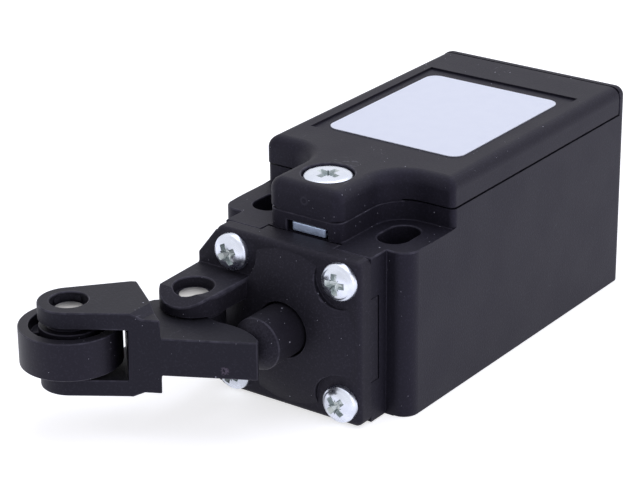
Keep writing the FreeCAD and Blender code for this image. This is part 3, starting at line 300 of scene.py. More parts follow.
def moulded(name, colour, roughness, tooth, dust):
    """A black plastic: tooth is the depth of its grain, dust the share of specks."""
    finish = Finish(name)
    patches = finish.window(finish.cloud(7.0, detail=4.0), 0.38, 0.68)
    skin = finish.blend(colour, tinted(colour, 1.5), patches * 0.14)
    pepper = finish.window(finish.cloud(0.30, detail=3.0), 0.50, 0.70)
    skin = finish.blend(skin, tinted(colour, 2.6), pepper * 0.7)
    # Proud rounded edges are painted paler: partly rub wear, partly a painted highlight along
    # them.
    edge_breakup = finish.window(finish.cloud(1.3, detail=3.0), 0.40, 0.66)
    worn_and_highlit = finish.edge() * (0.35 + edge_breakup * 0.65)
    skin = finish.blend(skin, EDGE_WEAR_AND_HIGHLIGHT, worn_and_highlit * 0.3)
    drag = finish.window(finish.cloud(0.35, stretch=(1.0, 0.12, 0.6)), 0.68, 0.76)
    scuff = drag * finish.window(finish.cloud(5.0), 0.54, 0.64)
    skin = finish.blend(skin, SCUFFED, scuff * 0.3)
    white = finish.specks(1.7, 0.12, dust) + finish.specks(0.8, 0.06, dust)
    skin = finish.blend(skin, DUST, white * 0.8)
    wave = finish.grain(finish.cloud(3.0), 0.006)
    normal = finish.grain(finish.cloud(0.22, detail=3.0), tooth, wave)
    finish.set(Base_Color=skin, Normal=normal,
               Roughness=roughness + (patches - 0.5) * 0.03 - worn_and_highlit * 0.10)
    finish.set(Specular_IOR_Level=0.28, Specular_Tint=COOL_SHEEN)
    return finish, skin


print("one recipe makes", moulded.__name__, "plastic")

# %% The black pieces
BLACKS = {
    # piece: colour, roughness, depth of the grain, share of dust
    "housing": (paint(19, 18, 25), 0.56, 0.026, 0.26),
    "cover": (paint(19, 18, 25), 0.56, 0.026, 0.26),
    "head": (paint(27, 26, 31), 0.58, 0.026, 0.30),
    "lever": (paint(20, 20, 24), 0.54, 0.022, 0.18),
    "plunger": (paint(13, 12, 16), 0.60, 0.022, 0.50),
    "roller": (paint(21, 20, 25), 0.46, 0.010, 0.10),
}
blacks = {piece: moulded(piece + "_plastic", *numbers) for piece, numbers in BLACKS.items()}
black = {piece: finish.material for piece, (finish, skin) in blacks.items()}
print("black plastics:", len(black))

# %% [markdown]
# ## Marks of use and of the mould
#
# A switch from the shelf isn't spotless.  A driver has smeared the cover beside its screw, an
# ejector pin has left a faint ring on the nose of the cover, the lever shows the rough spot
# of its sprue, and dust has settled on the plunger.  Each mark is a soft spot at its place,
# broken up by noise and blended over the finished skin, so that the recipe stays the same.

# %% Smear, ejector ring, sprue and dust
finish, skin = blacks["cover"]
smear = finish.spot(-0.3, 2.7, 30.0, 2.4) * finish.window(
    finish.cloud(0.5, detail=3.0, stretch=(0.5, 1.0, 1.0)), 0.55, 0.68)
ring = finish.spot(0.2, -7.3, 28.0, 0.75) * (1 - finish.spot(0.2, -7.3, 28.0, 0.5))
finish.set(Base_Color=finish.blend(skin, SCUFFED, smear * 0.45 + ring * 0.16))

finish, skin = blacks["lever"]
sprue = finish.spot(-0.4, -23.55, 10.2, 0.75) * finish.window(finish.cloud(0.3), 0.42, 0.60)
finish.set(Base_Color=finish.blend(skin, paint(104, 94, 108), sprue * 0.7))

finish, skin = blacks["plunger"]
dusty = finish.spot(0.0, -19.2, 11.7, 5.2) * finish.window(
    finish.cloud(0.25, detail=3.0), 0.30, 0.80)
finish.set(Base_Color=finish.blend(skin, paint(70, 69, 78), dusty * 0.32))
print("marks: smear by the screw, ejector ring, sprue, dust on the plunger")

# %% [markdown]
# ## Bright zinc and ground steel
#
# The screws and the plate nut are steel with a thin blue-white zinc coat.  The coat is bright
# but slightly uneven, and it is duller in the cross recesses and on the nut.  The pin ends
# are plain steel, ground flat.  A bright metal is mostly its reflections, so the recipe
# spends its noise on the roughness and on a shallow bump, and only a little on the colour.

# %% The recipe for metal
def metal(name, colour, roughness, streak, depth, direction=(1.0, 1.0, 1.0)):
    """A bare or plated metal: streak and depth are the size and height of its marks."""
    finish = Finish(name)
    blotch = finish.window(finish.cloud(1.6, detail=3.0), 0.35, 0.7)
    skin = finish.blend(colour, tinted(colour, 0.82), blotch * 0.6)
    skin = finish.blend(skin, paint(120, 118, 116), finish.specks(1.1, 0.07, 0.25) * 0.6)
    marks = finish.cloud(streak, detail=3.0, stretch=direction)
    finish.set(Base_Color=skin, Normal=finish.grain(marks, depth),
               Roughness=roughness + blotch * 0.08 + (marks - 0.5) * 0.12)
    finish.set(Metallic=1.0)
    return finish.material


zinc = metal("zinc_plate", paint(224, 229, 243), 0.26, 0.8, 0.004)
zinc_recess = metal("zinc_recess", paint(200, 207, 209), 0.40, 0.3, 0.010)
zinc_nut = metal("zinc_nut", paint(196, 212, 240), 0.38, 0.3, 0.010)
pin_face = metal("pin_steel", paint(214, 212, 211), 0.30, 0.12, 0.004)
spring_wire = metal("spring_steel", paint(176, 178, 182), 0.30, 0.10, 0.003)
brass = metal("contact_brass", paint(222, 184, 108), 0.28, 0.2, 0.004, (1.0, 0.1, 1.0))
metals = (zinc, zinc_recess, zinc_nut, pin_face, spring_wire, brass)
print("metals:", [skin.name for skin in metals])

# %% [markdown]
# ## The quiet finishes
#
# What is left is nitrile rubber, the pale plastic of the contact block, its red carrier and
# the film of the label.  They are plain, but each gets its own scale of unevenness, because
# a flat colour looks like a drawing and not like a thing.

# %% Rubber, block plastic and label film
def plain(name, colour, roughness, lump, depth, level=0.3, clouds=0.6):
    """A plain finish: lump is the size of its patches and clouds their strength."""
    finish = Finish(name)
    patches = finish.window(finish.cloud(lump, detail=3.0), 0.35, 0.7)
    skin = finish.blend(colour, tinted(colour, 0.86), patches * clouds)
    # Proud rounded edges are painted paler: partly wear, partly a painted highlight along them.
    skin = finish.blend(skin, tinted(colour, 1.3), finish.edge() * 0.3)
    finish.set(Base_Color=skin, Normal=finish.grain(finish.cloud(0.05 * lump), depth),
               Roughness=roughness + (patches - 0.5) * 0.08)
    finish.set(Specular_IOR_Level=level)
    return finish.material


rubber = plain("seal_rubber", paint(24, 24, 25), 0.70, 2.0, 0.006)
block_skin = plain("block_plastic", paint(205, 202, 192), 0.48, 4.0, 0.008)
carrier_skin = plain("carrier_plastic", paint(190, 62, 44), 0.45, 4.0, 0.008)
film = plain("label_film", paint(240, 245, 255), 0.36, 2.0, 0.002, level=0.35, clouds=0.08)
print("quiet finishes:", [skin.name for skin in (rubber, block_skin, carrier_skin, film)])

# %% [markdown]
# ## New pieces and what they stand for
#
# A piece made here has to move with the switch.  It rides on the same body as the solid that it
# belongs to and takes the finishes that it is given.  Where it replaces that solid, the solid
# is hidden but stays in the frame, so nothing is lost.  Two small functions keep this in one
# place.


def mesh_from(shape, name, crease=None):
    """The mesh of a bmesh.  With a crease, it is shaded smooth up to that many degrees."""
    if crease:
        for face in shape.faces:
            face.smooth = True
    mesh = bpy.data.meshes.new(name)
    shape.to_mesh(mesh)
    shape.free()
    if crease:
        mesh.set_sharp_from_angle(angle=math.radians(crease))
    return mesh


def add(name, mesh, node, *finishes):
    """A new piece that belongs to a node: on the same body, with the finishes given."""
    piece = bpy.data.objects.new(name, mesh)
    bpy.context.scene.collection.objects.link(piece)
    for finish in finishes:
        mesh.materials.append(finish)
    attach(piece, nodes[node]["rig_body"])
    return piece


def stand_in(name, mesh, node, *finishes):
    """A new piece that stands for a node."""
    piece = add(name, mesh, node, *finishes)
    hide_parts(node)
    return piece


# %% [markdown]
# ## Rounded edges, the way a mould leaves them
#
# No moulded edge is sharp: each has a radius of a few tenths, and that thin rounding is what
# catches the light.  A bevel modifier would do it on a clean mesh, but the solids arrive as
# flat triangles with split vertices.  So `eased` copies a solid, melts its flat faces
# together, bevels the edges that have room for it, and borrows the shading of the solid for
# the rest.  The rounded faces are marked in an attribute called `edge`, which the finishes
# read to paint them paler: partly rub wear, partly a painted highlight along the edge.
#
# The first step is to choose the edges.  A rounding needs room on both sides, or it runs
# into the next one and the faces cross.  `roomy_edges` walks along each sharp edge and
# leaves it out where another sharp edge runs close beside it.

# %% Which edges have room for a rounding
SHARP = math.radians(30)


def along(edge, step_length, fewest):
    """Places at equal steps along an edge, in the middle of each step."""
    first, last = (vertex.co for vertex in edge.verts)
    count = max(fewest, math.ceil(edge.calc_length() / step_length))
    return [first.lerp(last, (step + 0.5) / count) for step in range(count)]


def roomy_edges(shape, width):
    """Edges that turn sharply, with no other such edge beside them."""
    mark = shape.faces.layers.float["edge"]
    sharp = [edge for edge in shape.edges
             if len(edge.link_faces) == 2 and edge.calc_face_angle() > SHARP
             and not any(face[mark] for face in edge.link_faces)]
    dots = [(dot, edge) for edge in sharp for dot in along(edge, 0.4 * width, 2)]
    tree = KDTree(len(dots))
    for number, (dot, edge) in enumerate(dots):
        tree.insert(dot, number)
    tree.balance()
    room = 1.5 * width
    crowded = set()
    for dot, edge in dots:
        first, last = (vertex.co for vertex in edge.verts)
        direction = (last - first).normalized()
        to_corner = min((dot - first).length, (dot - last).length)
        if to_corner < room and edge.calc_length() > 3.2 * width:
            continue
        for place, number, gap in tree.find_range(dot, room):
            aside = (place - dot) - direction * (place - dot).dot(direction)
            if dots[number][1] is not edge and aside.length > 0.5 * gap:
                crowded.add(edge)
    return [edge for edge in sharp if edge not in crowded]


print("edges that turn by more than", round(math.degrees(SHARP)), "degrees are rounded")

# %% [markdown]
# ### Shading borrowed from the solid
#
# A bevel changes the faces beside it, and Blender would then shade a long flat face as if it
# bulged.  The solid knows the true direction of its surface at every corner.  So each corner
# of the copy looks up the nearest face of the solid that points the same way and takes the
# direction there, and the roundings blend between their neighbours.

# %% Keep the smooth shading of the solid
REACH = 0.06 * MM


def solid_normal(tree, source, rings, corners, inside, facing):
    """The solid's shading direction at a point, or the face's own where there is none."""
    hits = tree.find_nearest_range(inside, REACH)
    if not hits:
        return facing
    flats = source.polygons
    place, flat, found, gap = max(
        hits, key=lambda hit: (round(flats[hit[2]].normal.dot(facing), 4), -hit[3]))
    shares = poly_3d_calc([source.vertices[spot].co for spot in rings[found]], place)
    normal = sum((corners[spot] * part
                  for spot, part in zip(flats[found].loop_indices, shares)), Vector())
    if normal.length < 0.5 or normal.normalized().dot(facing) < 0.7:
        return facing
    return normal


def borrow_normals(mesh, source, edge_faces):
    """Shade flat and curved faces exactly as the solid does, and the roundings between them."""
    corners = [corner.vector.copy() for corner in source.corner_normals]
    rings = [list(face.vertices) for face in source.polygons]
    tree = BVHTree.FromPolygons([vertex.co for vertex in source.vertices], rings)
    given = [None] * len(mesh.loops)
    around = {}
    for face in mesh.polygons:
        if face.index in edge_faces:
            continue
        for loop in face.loop_indices:
            vertex = mesh.loops[loop].vertex_index
            inside = mesh.vertices[vertex].co.lerp(face.center, 0.002)
            normal = solid_normal(tree, source, rings, corners, inside, face.normal)
            given[loop] = normal.normalized()
            around.setdefault(vertex, []).append(given[loop])
    for face in mesh.polygons:
        for loop in face.loop_indices:
            if given[loop] is None:
                vertex = mesh.loops[loop].vertex_index
                near = [normal for normal in around.get(vertex, [])
                        if normal.dot(face.normal) > 0.3]
                given[loop] = sum(near, Vector()).normalized() if near else face.normal
    mesh.normals_split_custom_set(given)


print("shading is copied within", round(REACH / MM, 3), "mm of the solid")

# %% [markdown]
# ### A clean copy
#
# The solids are made of triangles that don't share their corners.  Joining corners that lie
# within a few thousandths of a millimetre and dissolving the edges inside flat faces gives
# back the outline that the edges of the real piece have.

# %% Copy a solid and melt its flat faces together
SAME_PLACE = 0.002 * MM
FLAT_ANGLE = math.radians(0.1)


def melted(node):
    """A copy of a solid without the extra edges and the split corners of its flat shading."""
    shape = bmesh.new()
    shape.from_mesh(nodes[node].data)
    bmesh.ops.remove_doubles(shape, verts=shape.verts, dist=SAME_PLACE)
    bmesh.ops.dissolve_limit(shape, angle_limit=FLAT_ANGLE, verts=shape.verts, edges=shape.edges)
    shape.faces.layers.float.new("edge")
    return shape


print("solids that can be copied:", len(nodes))

# %% [markdown]
# ### Bevel, then put strays back
#
# A bevel of three steps is round enough at this size.  Where many edges meet, it can throw a
# point off the surface, so every new point that lies further from the solid than half the
# width goes back to it.  The rounding can also change its width along an edge, which the
# chamfer of the ear needs.

# %% Round some edges
PROUD, HOLLOW = 1.0, 0.01


def mark_roundings(shape, skin, faces):
    """Tell roundings that stand proud, where wear and the painted edge highlight show, from hollow
    ones.
    """
    mark = shape.faces.layers.float["edge"]
    for face in faces:
        middle = face.calc_center_median()
        place, flat, found, gap = skin.find_nearest(middle)
        face[mark] = PROUD if (middle - place).dot(flat) < 0 else HOLLOW


def narrowed(vertices, dots, share):
    """Draw points towards the old edge, to share(x, y, z) of their distance from it."""
    tree = KDTree(len(dots))
    for number, dot in enumerate(dots):
        tree.insert(dot, number)
    tree.balance()
    for vertex in vertices:
        dot, number, gap = tree.find(vertex.co)
        vertex.co = dot + (vertex.co - dot) * share(*(dot / MM))


def rounded(shape, skin, edges, width, share=None):
    """Bevel the edges to a width, which share may narrow from place to place."""
    dots = []
    for edge in edges if share else []:
        first, last = (vertex.co.copy() for vertex in edge.verts)
        count = max(1, math.ceil(edge.calc_length() / (0.05 * MM)))
        dots += [first.lerp(last, step / count) for step in range(count + 1)]
    made = bmesh.ops.bevel(shape, geom=edges, offset=width * MM, offset_type="OFFSET",
                           segments=3, profile=0.5, affect="EDGES", clamp_overlap=False,
                           miter_outer="ARC", miter_inner="SHARP", spread=0.5 * width * MM)
    mark_roundings(shape, skin, made["faces"])
    vertices = {vertex for face in made["faces"] for vertex in face.verts}
    for vertex in vertices:
        place, flat, found, gap = skin.find_nearest(vertex.co)
        if gap > 0.5 * width * MM:
            vertex.co = place
    if share:
        narrowed(vertices, dots, share)


print("a proud rounding carries", PROUD, "and a hollow one", HOLLOW)

# %% [markdown]
# ### Flat faces with many corners
#
# After the melting, one flat face may have a hundred corners and deep notches.  Blender cuts
# such a face into triangles when it draws it, and sometimes one of them leaves the outline.
# Then their sizes don't add up to the size of the face.  Those faces are cut afresh with a
# Delaunay fill, which keeps to the outline.

# %% Fill the faces whose triangles don't add up
def filled(shape):
    """Where the usual triangles of a many sided face would leave its outline, make better ones."""
    covered = {}
    for one, two, three in shape.calc_loop_triangles():
        size = area_tri(one.vert.co, two.vert.co, three.vert.co)
        covered[one.face] = covered.get(one.face, 0.0) + size
    wide = [face for face, size in covered.items()
            if len(face.verts) > 4 and abs(size - face.calc_area()) > 0.001 * face.calc_area()]
    mark = shape.faces.layers.float["edge"]
    for face in wide:
        corners = [vertex.co for vertex in face.verts]
        side = (corners[1] - corners[0]).normalized()
        up = face.normal.cross(side)
        flat = [Vector(((co - corners[0]).dot(side), (co - corners[0]).dot(up))) / MM
                for co in corners]
        inside_only, nearest = 1, 1e-7
        found = delaunay_2d_cdt(flat, [], [list(range(len(flat)))], inside_only, nearest)
        places, triangles, origins = found[0], found[2], found[3]
        vertices = []
        for place, origin in zip(places, origins):
            if origin:
                vertices.append(face.verts[origin[0]])
            else:
                spot = corners[0] + (side * place.x + up * place.y) * MM
                vertices.append(shape.verts.new(spot))
        marked = face[mark]
        for triangle in triangles:
            ring = [vertices[corner] for corner in triangle]
            if len(set(ring)) == 3:
                made = shape.faces.get(ring) or shape.faces.new(ring)
                made[mark] = marked
    bmesh.ops.delete(shape, geom=wide, context="FACES_ONLY")


print("flat faces are filled afresh where their triangles do not add up")

# %% [markdown]
# ### All steps together
#
# Most edges of a piece share one width, but some places need another, or none.  So `eased`
# takes a list of special widths, each with a test of an edge's middle, and gives every edge
# the first width whose test it passes.

# %% Round the edges of a solid
def everywhere(x, y, z):
    return True


def eased(node, finish, width, special=(), trim=None):
    """A copy of a solid with rounded edges, which stands for it.  Each of special is a width,
    a test of an edge's middle and perhaps a share; such edges get that width.  Trim may
    shift points of the copy before its edges are rounded."""
    source = nodes[node].data
    skin = BVHTree.FromPolygons([vertex.co for vertex in source.vertices],
                                [list(face.vertices) for face in source.polygons])
    shape = melted(node)
    if trim:
        trim(shape)
    count = 0
    tests = list(special) + [(width, everywhere)]
    for turn, (size, wanted, *share) in enumerate(tests):
        earlier = [test[1] for test in tests[:turn]]
        edges = []
        for edge in roomy_edges(shape, size * MM) if size else []:
            place = (edge.verts[0].co + edge.verts[1].co) / (2 * MM)
            if wanted(*place) and not any(test(*place) for test in earlier):
                edges.append(edge)
        if edges:
            rounded(shape, skin, edges, size, *share)
        count += len(edges)
    filled(shape)
    for face in shape.faces:
        face.smooth = True
    mesh = mesh_from(shape, node + "_eased")
    marks = mesh.attributes["edge"].data
    borrow_normals(mesh, source, {face.index for face in mesh.polygons
                                  if marks[face.index].value > 0})
    stand_in(node + "_eased", mesh, node, finish)
    print(node, len(source.polygons), "faces ->", len(mesh.polygons), "rounded edges:", count)


print("special widths come before the common one")

# %% [markdown]
# ## Joints between the moulded pieces
#
# The cover sits on the housing over a narrow shadow gap, and it meets the lip at the back in
# a fine line.  Edges beside such joints stay sharp, or the joint would swell to a groove.
# Round the nose the cover fits closely, so there the wall of the gap comes forward and only
# a line is left.  The tabs of the head end a little short of the neck, where a dark gap
# shows.  Both shifts are a few tenths, done on the copy before its edges are rounded.

# %% Where edges stay sharp
NOSE_END = 4.6


def at_seam(x, y, z):
    """The joint between cover and housing."""
    return 24.8 < z < 26.2 and y > -8


def at_body_seam(x, y, z):
    """The same joint behind the nose, where the housing shows its sharp rim."""
    return at_seam(x, y, z) and y > NOSE_END


def at_lip(x, y, z):
    """The line where the cover meets the lip at the back of the housing."""
    return y > 46.0 and abs(x) < 14.9 and z > 20


def at_label(x, y, z):
    """The shallow recess of the label."""
    return z > 29.5 and abs(x) < 12.0 and 11.5 < y < 40.5


def at_tab(x, y, z):
    """The joint between a tab of the head and the neck of the housing."""
    return -8.6 < y < -6.6 and z < 23.0


print("places with edges of their own:", [test.__name__ for test in (
    at_seam, at_body_seam, at_lip, at_label, at_tab)])

# %% Shift the walls of two joints
SEAM_SHIFT = 0.72
TAB_GAP = 0.2
TAB_END = -7.0


def close_nose_seam(shape):
    """Bring the wall of the shadow gap forward round the nose, where the joint is tight."""
    shifts = {}
    for face in shape.faces:
        heights = [vertex.co.z / MM for vertex in face.verts]
        in_gap = min(heights) > 25.85 and max(heights) < 26.25 and abs(face.normal.z) < 0.1
        if in_gap and face.calc_center_median().y / MM < NOSE_END:
            for vertex in face.verts:
                shifts.setdefault(vertex, []).append(face.normal.copy())
    for vertex, normals in shifts.items():
        vertex.co += sum(normals, Vector()).normalized() * SEAM_SHIFT * MM
    print("points of the nose seam brought forward:", len(shifts))


def open_tab_seam(shape):
    """Hold the ends of the tabs a little off the neck, which leaves a dark gap."""
    ends = [vertex for vertex in shape.verts if vertex.co.y / MM > TAB_END]
    for vertex in ends:
        vertex.co.y -= TAB_GAP * MM
    print("points at the ends of the tabs:", len(ends))


print("seam shift", SEAM_SHIFT, "mm, tab gap", TAB_GAP, "mm")

# %% [markdown]
# ## The ear
#
# The lever hangs on a pin through an ear of the head.  Moulded without a draft, the ear would
# stick, so its upper outline has a chamfer, broad beside the head and narrow round the tip.
# The pin's place comes from the joint in the record.

# %% The chamfer of the ear
EAR_CHAMFER = 0.75
hinge = next(joint for joint in record["behaviour"]["joints"] if joint["name"] == "lever_hinge")
pin_x, pin_y = (part / MM for part in hinge["pos_m"][:2])


def at_ear(x, y, z):
    """The upper outline of the ear, from its tip along its right side."""
    past_pin = math.hypot(x - pin_x, y - pin_y) > 3.2
    return z > 15.7 and x > -11.5 and y < -13 and past_pin


def along_ear(x, y, z):
    """Broad beside the head, narrow round the tip."""
    return min(1.0, max(0.3, (y + 21.0) / 5.0))


print("the pin of the ear stands at", round(pin_x, 3), round(pin_y, 3))

# %% [markdown]
# ## Ease every piece
#
# The large mouldings get a rounding of 0.2 mm, the small ones less.  The label is a thin film
# with hardly any.

# %% Ease the moulded pieces
eased("housing", black["housing"], 0.2, [(0, at_body_seam), (0, at_lip), (0, at_tab)])
eased("cover", black["cover"], 0.2, [(0, at_seam), (0, at_lip), (0.05, at_label)],
      trim=close_nose_seam)
eased("head", black["head"], 0.2, [(0, at_tab), (EAR_CHAMFER, at_ear, along_ear)],
      trim=open_tab_seam)
eased("lever", black["lever"], 0.2)
eased("roller", black["roller"], 0.16)
eased("plunger", black["plunger"], 0.15)

# %% Ease the contact block, the nut, the pins and the label
eased("block_case", block_skin, 0.15)
eased("block_lid", block_skin, 0.15)
eased("contact_carrier", carrier_skin, 0.15)
eased("plate_nut", zinc_nut, 0.24)
eased("lever_pin", pin_face, 0.12)
eased("roller_pin", pin_face, 0.12)
eased("rating_label", film, 0.03)

# %% [markdown]
# ## Screws
#
# All screws are turned round their own axis, so each starts as a profile of radius and
# height, swept round in 64 steps.  The spin modifier could do the same, but a profile in a
# list can be read like the drawing of a lathe part.

# %% Sweep a profile round an axis
TURNED_STEPS = 64
AXES = {"-y": ((1, 0, 0), (0, 0, 1), (0, -1, 0)),
        "z": ((1, 0, 0), (0, 1, 0), (0, 0, 1))}


def frame_at(axis, place):
    """A matrix whose z runs along the axis from the place, in metres."""
    across, up, out = (Vector(side) for side in AXES[axis])
    spin = Matrix((across, up, out)).transposed().to_4x4()
    return Matrix.Translation(point(*place)) @ spin @ Matrix.Scale(MM, 4)


def turned(profile):
    """A closed solid from (radius, height) pairs, listed from the top down."""
    shape = bmesh.new()
    rings = []
    for radius, height in profile:
        if radius == 0:
            rings.append([shape.verts.new((0, 0, height))])
            continue
        rings.append([shape.verts.new((radius * math.cos(math.tau * step / TURNED_STEPS),
                                       radius * math.sin(math.tau * step / TURNED_STEPS),
                                       height))
                      for step in range(TURNED_STEPS)])
    for first, last in zip(rings, rings[1:]):
        for step in range(TURNED_STEPS):
            after = (step + 1) % TURNED_STEPS
            ring = [first[step % len(first)], first[after % len(first)],
                    last[after % len(last)], last[step % len(last)]]
            shape.faces.new(dict.fromkeys(ring))
    bmesh.ops.recalc_face_normals(shape, faces=shape.faces)
    return shape


print("screws can point along", sorted(AXES))

# %% [markdown]
# ### The cross recess
#
# The recess is the shape of the driver's tip: a star with four wings and four small ticks,
# which tapers as it goes in.  So the tip is built as a solid of its own, and a boolean cuts
# it out of the head.  The faces that the cut leaves take their own, duller finish.

# %% The tip of a cross driver
def driver_tip(reach, width, depth, top):
    """A tapering star with four wings and four ticks, from above top down to depth."""
    inner = 0.80 * width
    wing = math.asin(0.5 * width / reach)
    corners = ((-wing, reach), (wing, reach), (math.radians(36), inner),
               (math.radians(45), 1.45 * inner), (math.radians(54), inner))
    outline = [(radius * math.cos(math.tau * quarter / 4 + angle),
                radius * math.sin(math.tau * quarter / 4 + angle))
               for quarter in range(4) for angle, radius in corners]
    shape = bmesh.new()
    rings = [[shape.verts.new((x * share, y * share, height)) for x, y in outline]
             for share, height in ((1.30, top + 0.4), (1.0, top - 0.25), (0.72, top - depth))]
    tip = shape.verts.new((0, 0, top - 1.25 * depth))
    count = len(outline)
    for first, last in zip(rings, rings[1:]):
        for step in range(count):
            after = (step + 1) % count
            shape.faces.new((first[step], first[after], last[after], last[step]))
    for step in range(count):
        shape.faces.new((rings[-1][step], rings[-1][(step + 1) % count], tip))
    shape.faces.new(rings[0][::-1])
    bmesh.ops.recalc_face_normals(shape, faces=shape.faces)
    return shape


print("a driver tip is a cross that narrows with its depth")

# %% Cut one solid with another
def cut_by(blank, blank_finish, cutter, cutter_finish):
    """The first solid minus the second, as a mesh.  Cut faces take the cutter's finish."""
    helpers = []
    for name, shape, finish in (("blank", blank, blank_finish),
                                ("cutter", cutter, cutter_finish)):
        mesh = mesh_from(shape, name)
        mesh.materials.append(finish)
        helper = bpy.data.objects.new(name, mesh)
        bpy.context.scene.collection.objects.link(helper)
        helpers.append(helper)
    carve = helpers[0].modifiers.new("carve", "BOOLEAN")
    carve.operation, carve.solver, carve.object = "DIFFERENCE", "EXACT", helpers[1]
    carve.material_mode = "TRANSFER"
    bpy.context.view_layer.update()
    solid = helpers[0].evaluated_get(bpy.context.evaluated_depsgraph_get())
    made = bpy.data.meshes.new_from_object(solid)
    for helper in helpers:
        bpy.data.objects.remove(helper)
    return made


print("recesses are cut with an exact boolean")

# %% [markdown]
# ### Three kinds of screw
#
# The head screws have a domed pan head over a flange, the cover screw has a wide, nearly flat
# head, and the terminal screws have a small cheese head.  Each profile gives the head from
# its crown down to its seat at height 0, and `shank` adds the thread below it.

# %% Profiles of the three kinds of screw
def shank(radius, length, pitch):
    """The threaded part below the head, from its top down."""
    plain_part, tip, core = 0.6, 0.4, 0.84 * radius
    rows = [(radius, 0.0)]
    height = -plain_part
    while height - pitch > -length:
        rows += [(radius, height), (core, height - 0.5 * pitch)]
        height -= pitch
    return rows + [(core, -length + tip), (0.5 * radius, -length), (0, -length)]


def size_of(profile):
    """The largest radius of a head and its height."""
    return max(radius for radius, height in profile), profile[0][1]


PAN = [(0, 1.70), (0.5, 1.685), (1.0, 1.63), (1.4, 1.54), (1.7, 1.42), (1.9, 1.30),
       (2.05, 1.16), (2.12, 1.06), (2.16, 1.01), (2.34, 0.93), (2.45, 0.82), (2.52, 0.66),
       (2.55, 0.48), (2.55, 0.06), (2.48, 0)]
FLAT = [(0, 2.42), (1.0, 2.415), (2.0, 2.39), (2.6, 2.35), (2.95, 2.29), (3.17, 2.19),
        (3.30, 2.04), (3.36, 1.85), (3.36, 0.08), (3.28, 0)]
CHEESE = [(0, 1.60), (1.0, 1.57), (1.5, 1.50), (1.78, 1.40), (1.93, 1.26), (2.0, 1.05),
          (2.0, 0.05), (1.95, 0)]
print("radius and height of the heads:", size_of(PAN), size_of(FLAT), size_of(CHEESE))

# %% Make a set of screws
SCREW_CREASE = 35


def screws(node, cap, shaft, drive, places):
    """Screws at places of (axis, (x, y, z), turn in degrees), as one piece for a node.
    Drive is the reach, width and depth of the recess."""
    total = bmesh.new()
    for axis, place, turn in places:
        tip = driver_tip(*drive, top=size_of(cap)[1])
        spin = Matrix.Rotation(math.radians(turn), 3, "Z")
        bmesh.ops.rotate(tip, verts=tip.verts, matrix=spin)
        made = cut_by(turned(cap + shaft), zinc, tip, zinc_recess)
        made.transform(frame_at(axis, place))
        total.from_mesh(made)
    mesh = mesh_from(total, node + "_turned", crease=SCREW_CREASE)
    stand_in(node + "_turned", mesh, node, zinc, zinc_recess)
    print(node, len(places), "screws,", len(mesh.polygons), "faces")


def box_mm(node):
    """The lowest and highest corners of a node, in millimetres."""
    return [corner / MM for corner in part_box(node)]


print("a set of screws is one piece, as its solids are one node")

# %% [markdown]
# ### The four head screws
#
# They hold the head on the housing and are done up by hand, so no two recesses stand at the
# same angle.  Their places come from the box of the solids: a head's radius in from each
# corner.

# %% Turn the head screws
radius, height = size_of(PAN)
lowest, highest = box_mm("head_screws")
left, right = lowest.x + radius, highest.x - radius
down, up = lowest.z + radius, highest.z - radius
seat = lowest.y + height
screws("head_screws", PAN, shank(1.5, highest.y - seat, 0.6), (1.5, 0.86, 0.75), [
    ("-y", (left, seat, up), 28), ("-y", (right, seat, up), 2),
    ("-y", (left, seat, down), 70), ("-y", (right, seat, down), 43)])

# %% [markdown]
# ### The cover screw and the terminal screws
#
# The cover screw sits in a counterbore of the nose and its crown stands slightly higher than
# the flat head of the drawing.  The terminal screws stand in a row, at equal steps between
# the two ends of their box.

# %% Turn the cover screw
FLAT_SEAT = 2.2
lowest, highest = box_mm("cover_screw")
middle, seat = (lowest + highest) / 2, highest.z - FLAT_SEAT
screws("cover_screw", FLAT, shank(1.5, seat - lowest.z, 0.5), (1.6, 0.86, 0.75),
       [("z", (middle.x, middle.y, seat), -10)])

# %% Turn the terminal screws
radius, height = size_of(CHEESE)
lowest, highest = box_mm("terminal_screws")
turns = (12, 64, 35, 81)
seat, step = highest.z - height, (highest.x - lowest.x - 2 * radius) / (len(turns) - 1)
screws("terminal_screws", CHEESE, shank(1.25, seat - lowest.z, 0.5), (1.25, 0.62, 0.9),
       [("z", (lowest.x + radius + number * step, lowest.y + radius, seat), turn)
        for number, turn in enumerate(turns)])

# %% [markdown]
# ## The thread of the cable entry
#
# The solid has a plain bore here, at the root of a 20 x 1.5 thread.  The ridge between two
# turns is a trapezoid carried along a helix, and it fades out at both ends the way a moulded
# thread does, so that a gland can start.  The screw modifier would leave blunt ends.

# %% Wind the thread
WOUND_STEPS = 72
FADE = 0.3


def thread(root, crest, pitch, first, last, centre):
    """The ridge of an inner thread along y, from first to last.  Its section is given as
    radius and share of the pitch."""
    shape = bmesh.new()
    count = int((last - first) / pitch * WOUND_STEPS)
    rows = []
    for step in range(count + 1):
        angle = math.tau * step / WOUND_STEPS
        y = first + pitch * step / WOUND_STEPS
        rise = min(1.0, step / (FADE * WOUND_STEPS), (count - step) / (FADE * WOUND_STEPS))
        foot, top = root + 0.05, root - (root - crest) * rise
        section = ((foot, -0.46), (top, -0.10), (top, 0.10), (foot, 0.46))
        rows.append([shape.verts.new(point(centre[0] + radius * math.cos(angle),
                                           y + aside * pitch,
                                           centre[1] + radius * math.sin(angle)))
                     for radius, aside in section])
    for one, two in zip(rows, rows[1:]):
        for side in range(4):
            after = (side + 1) % 4
            shape.faces.new((one[side], one[after], two[after], two[side]))
    shape.faces.new(rows[0][::-1])
    shape.faces.new(rows[-1])
    bmesh.ops.recalc_face_normals(shape, faces=shape.faces)
    return shape


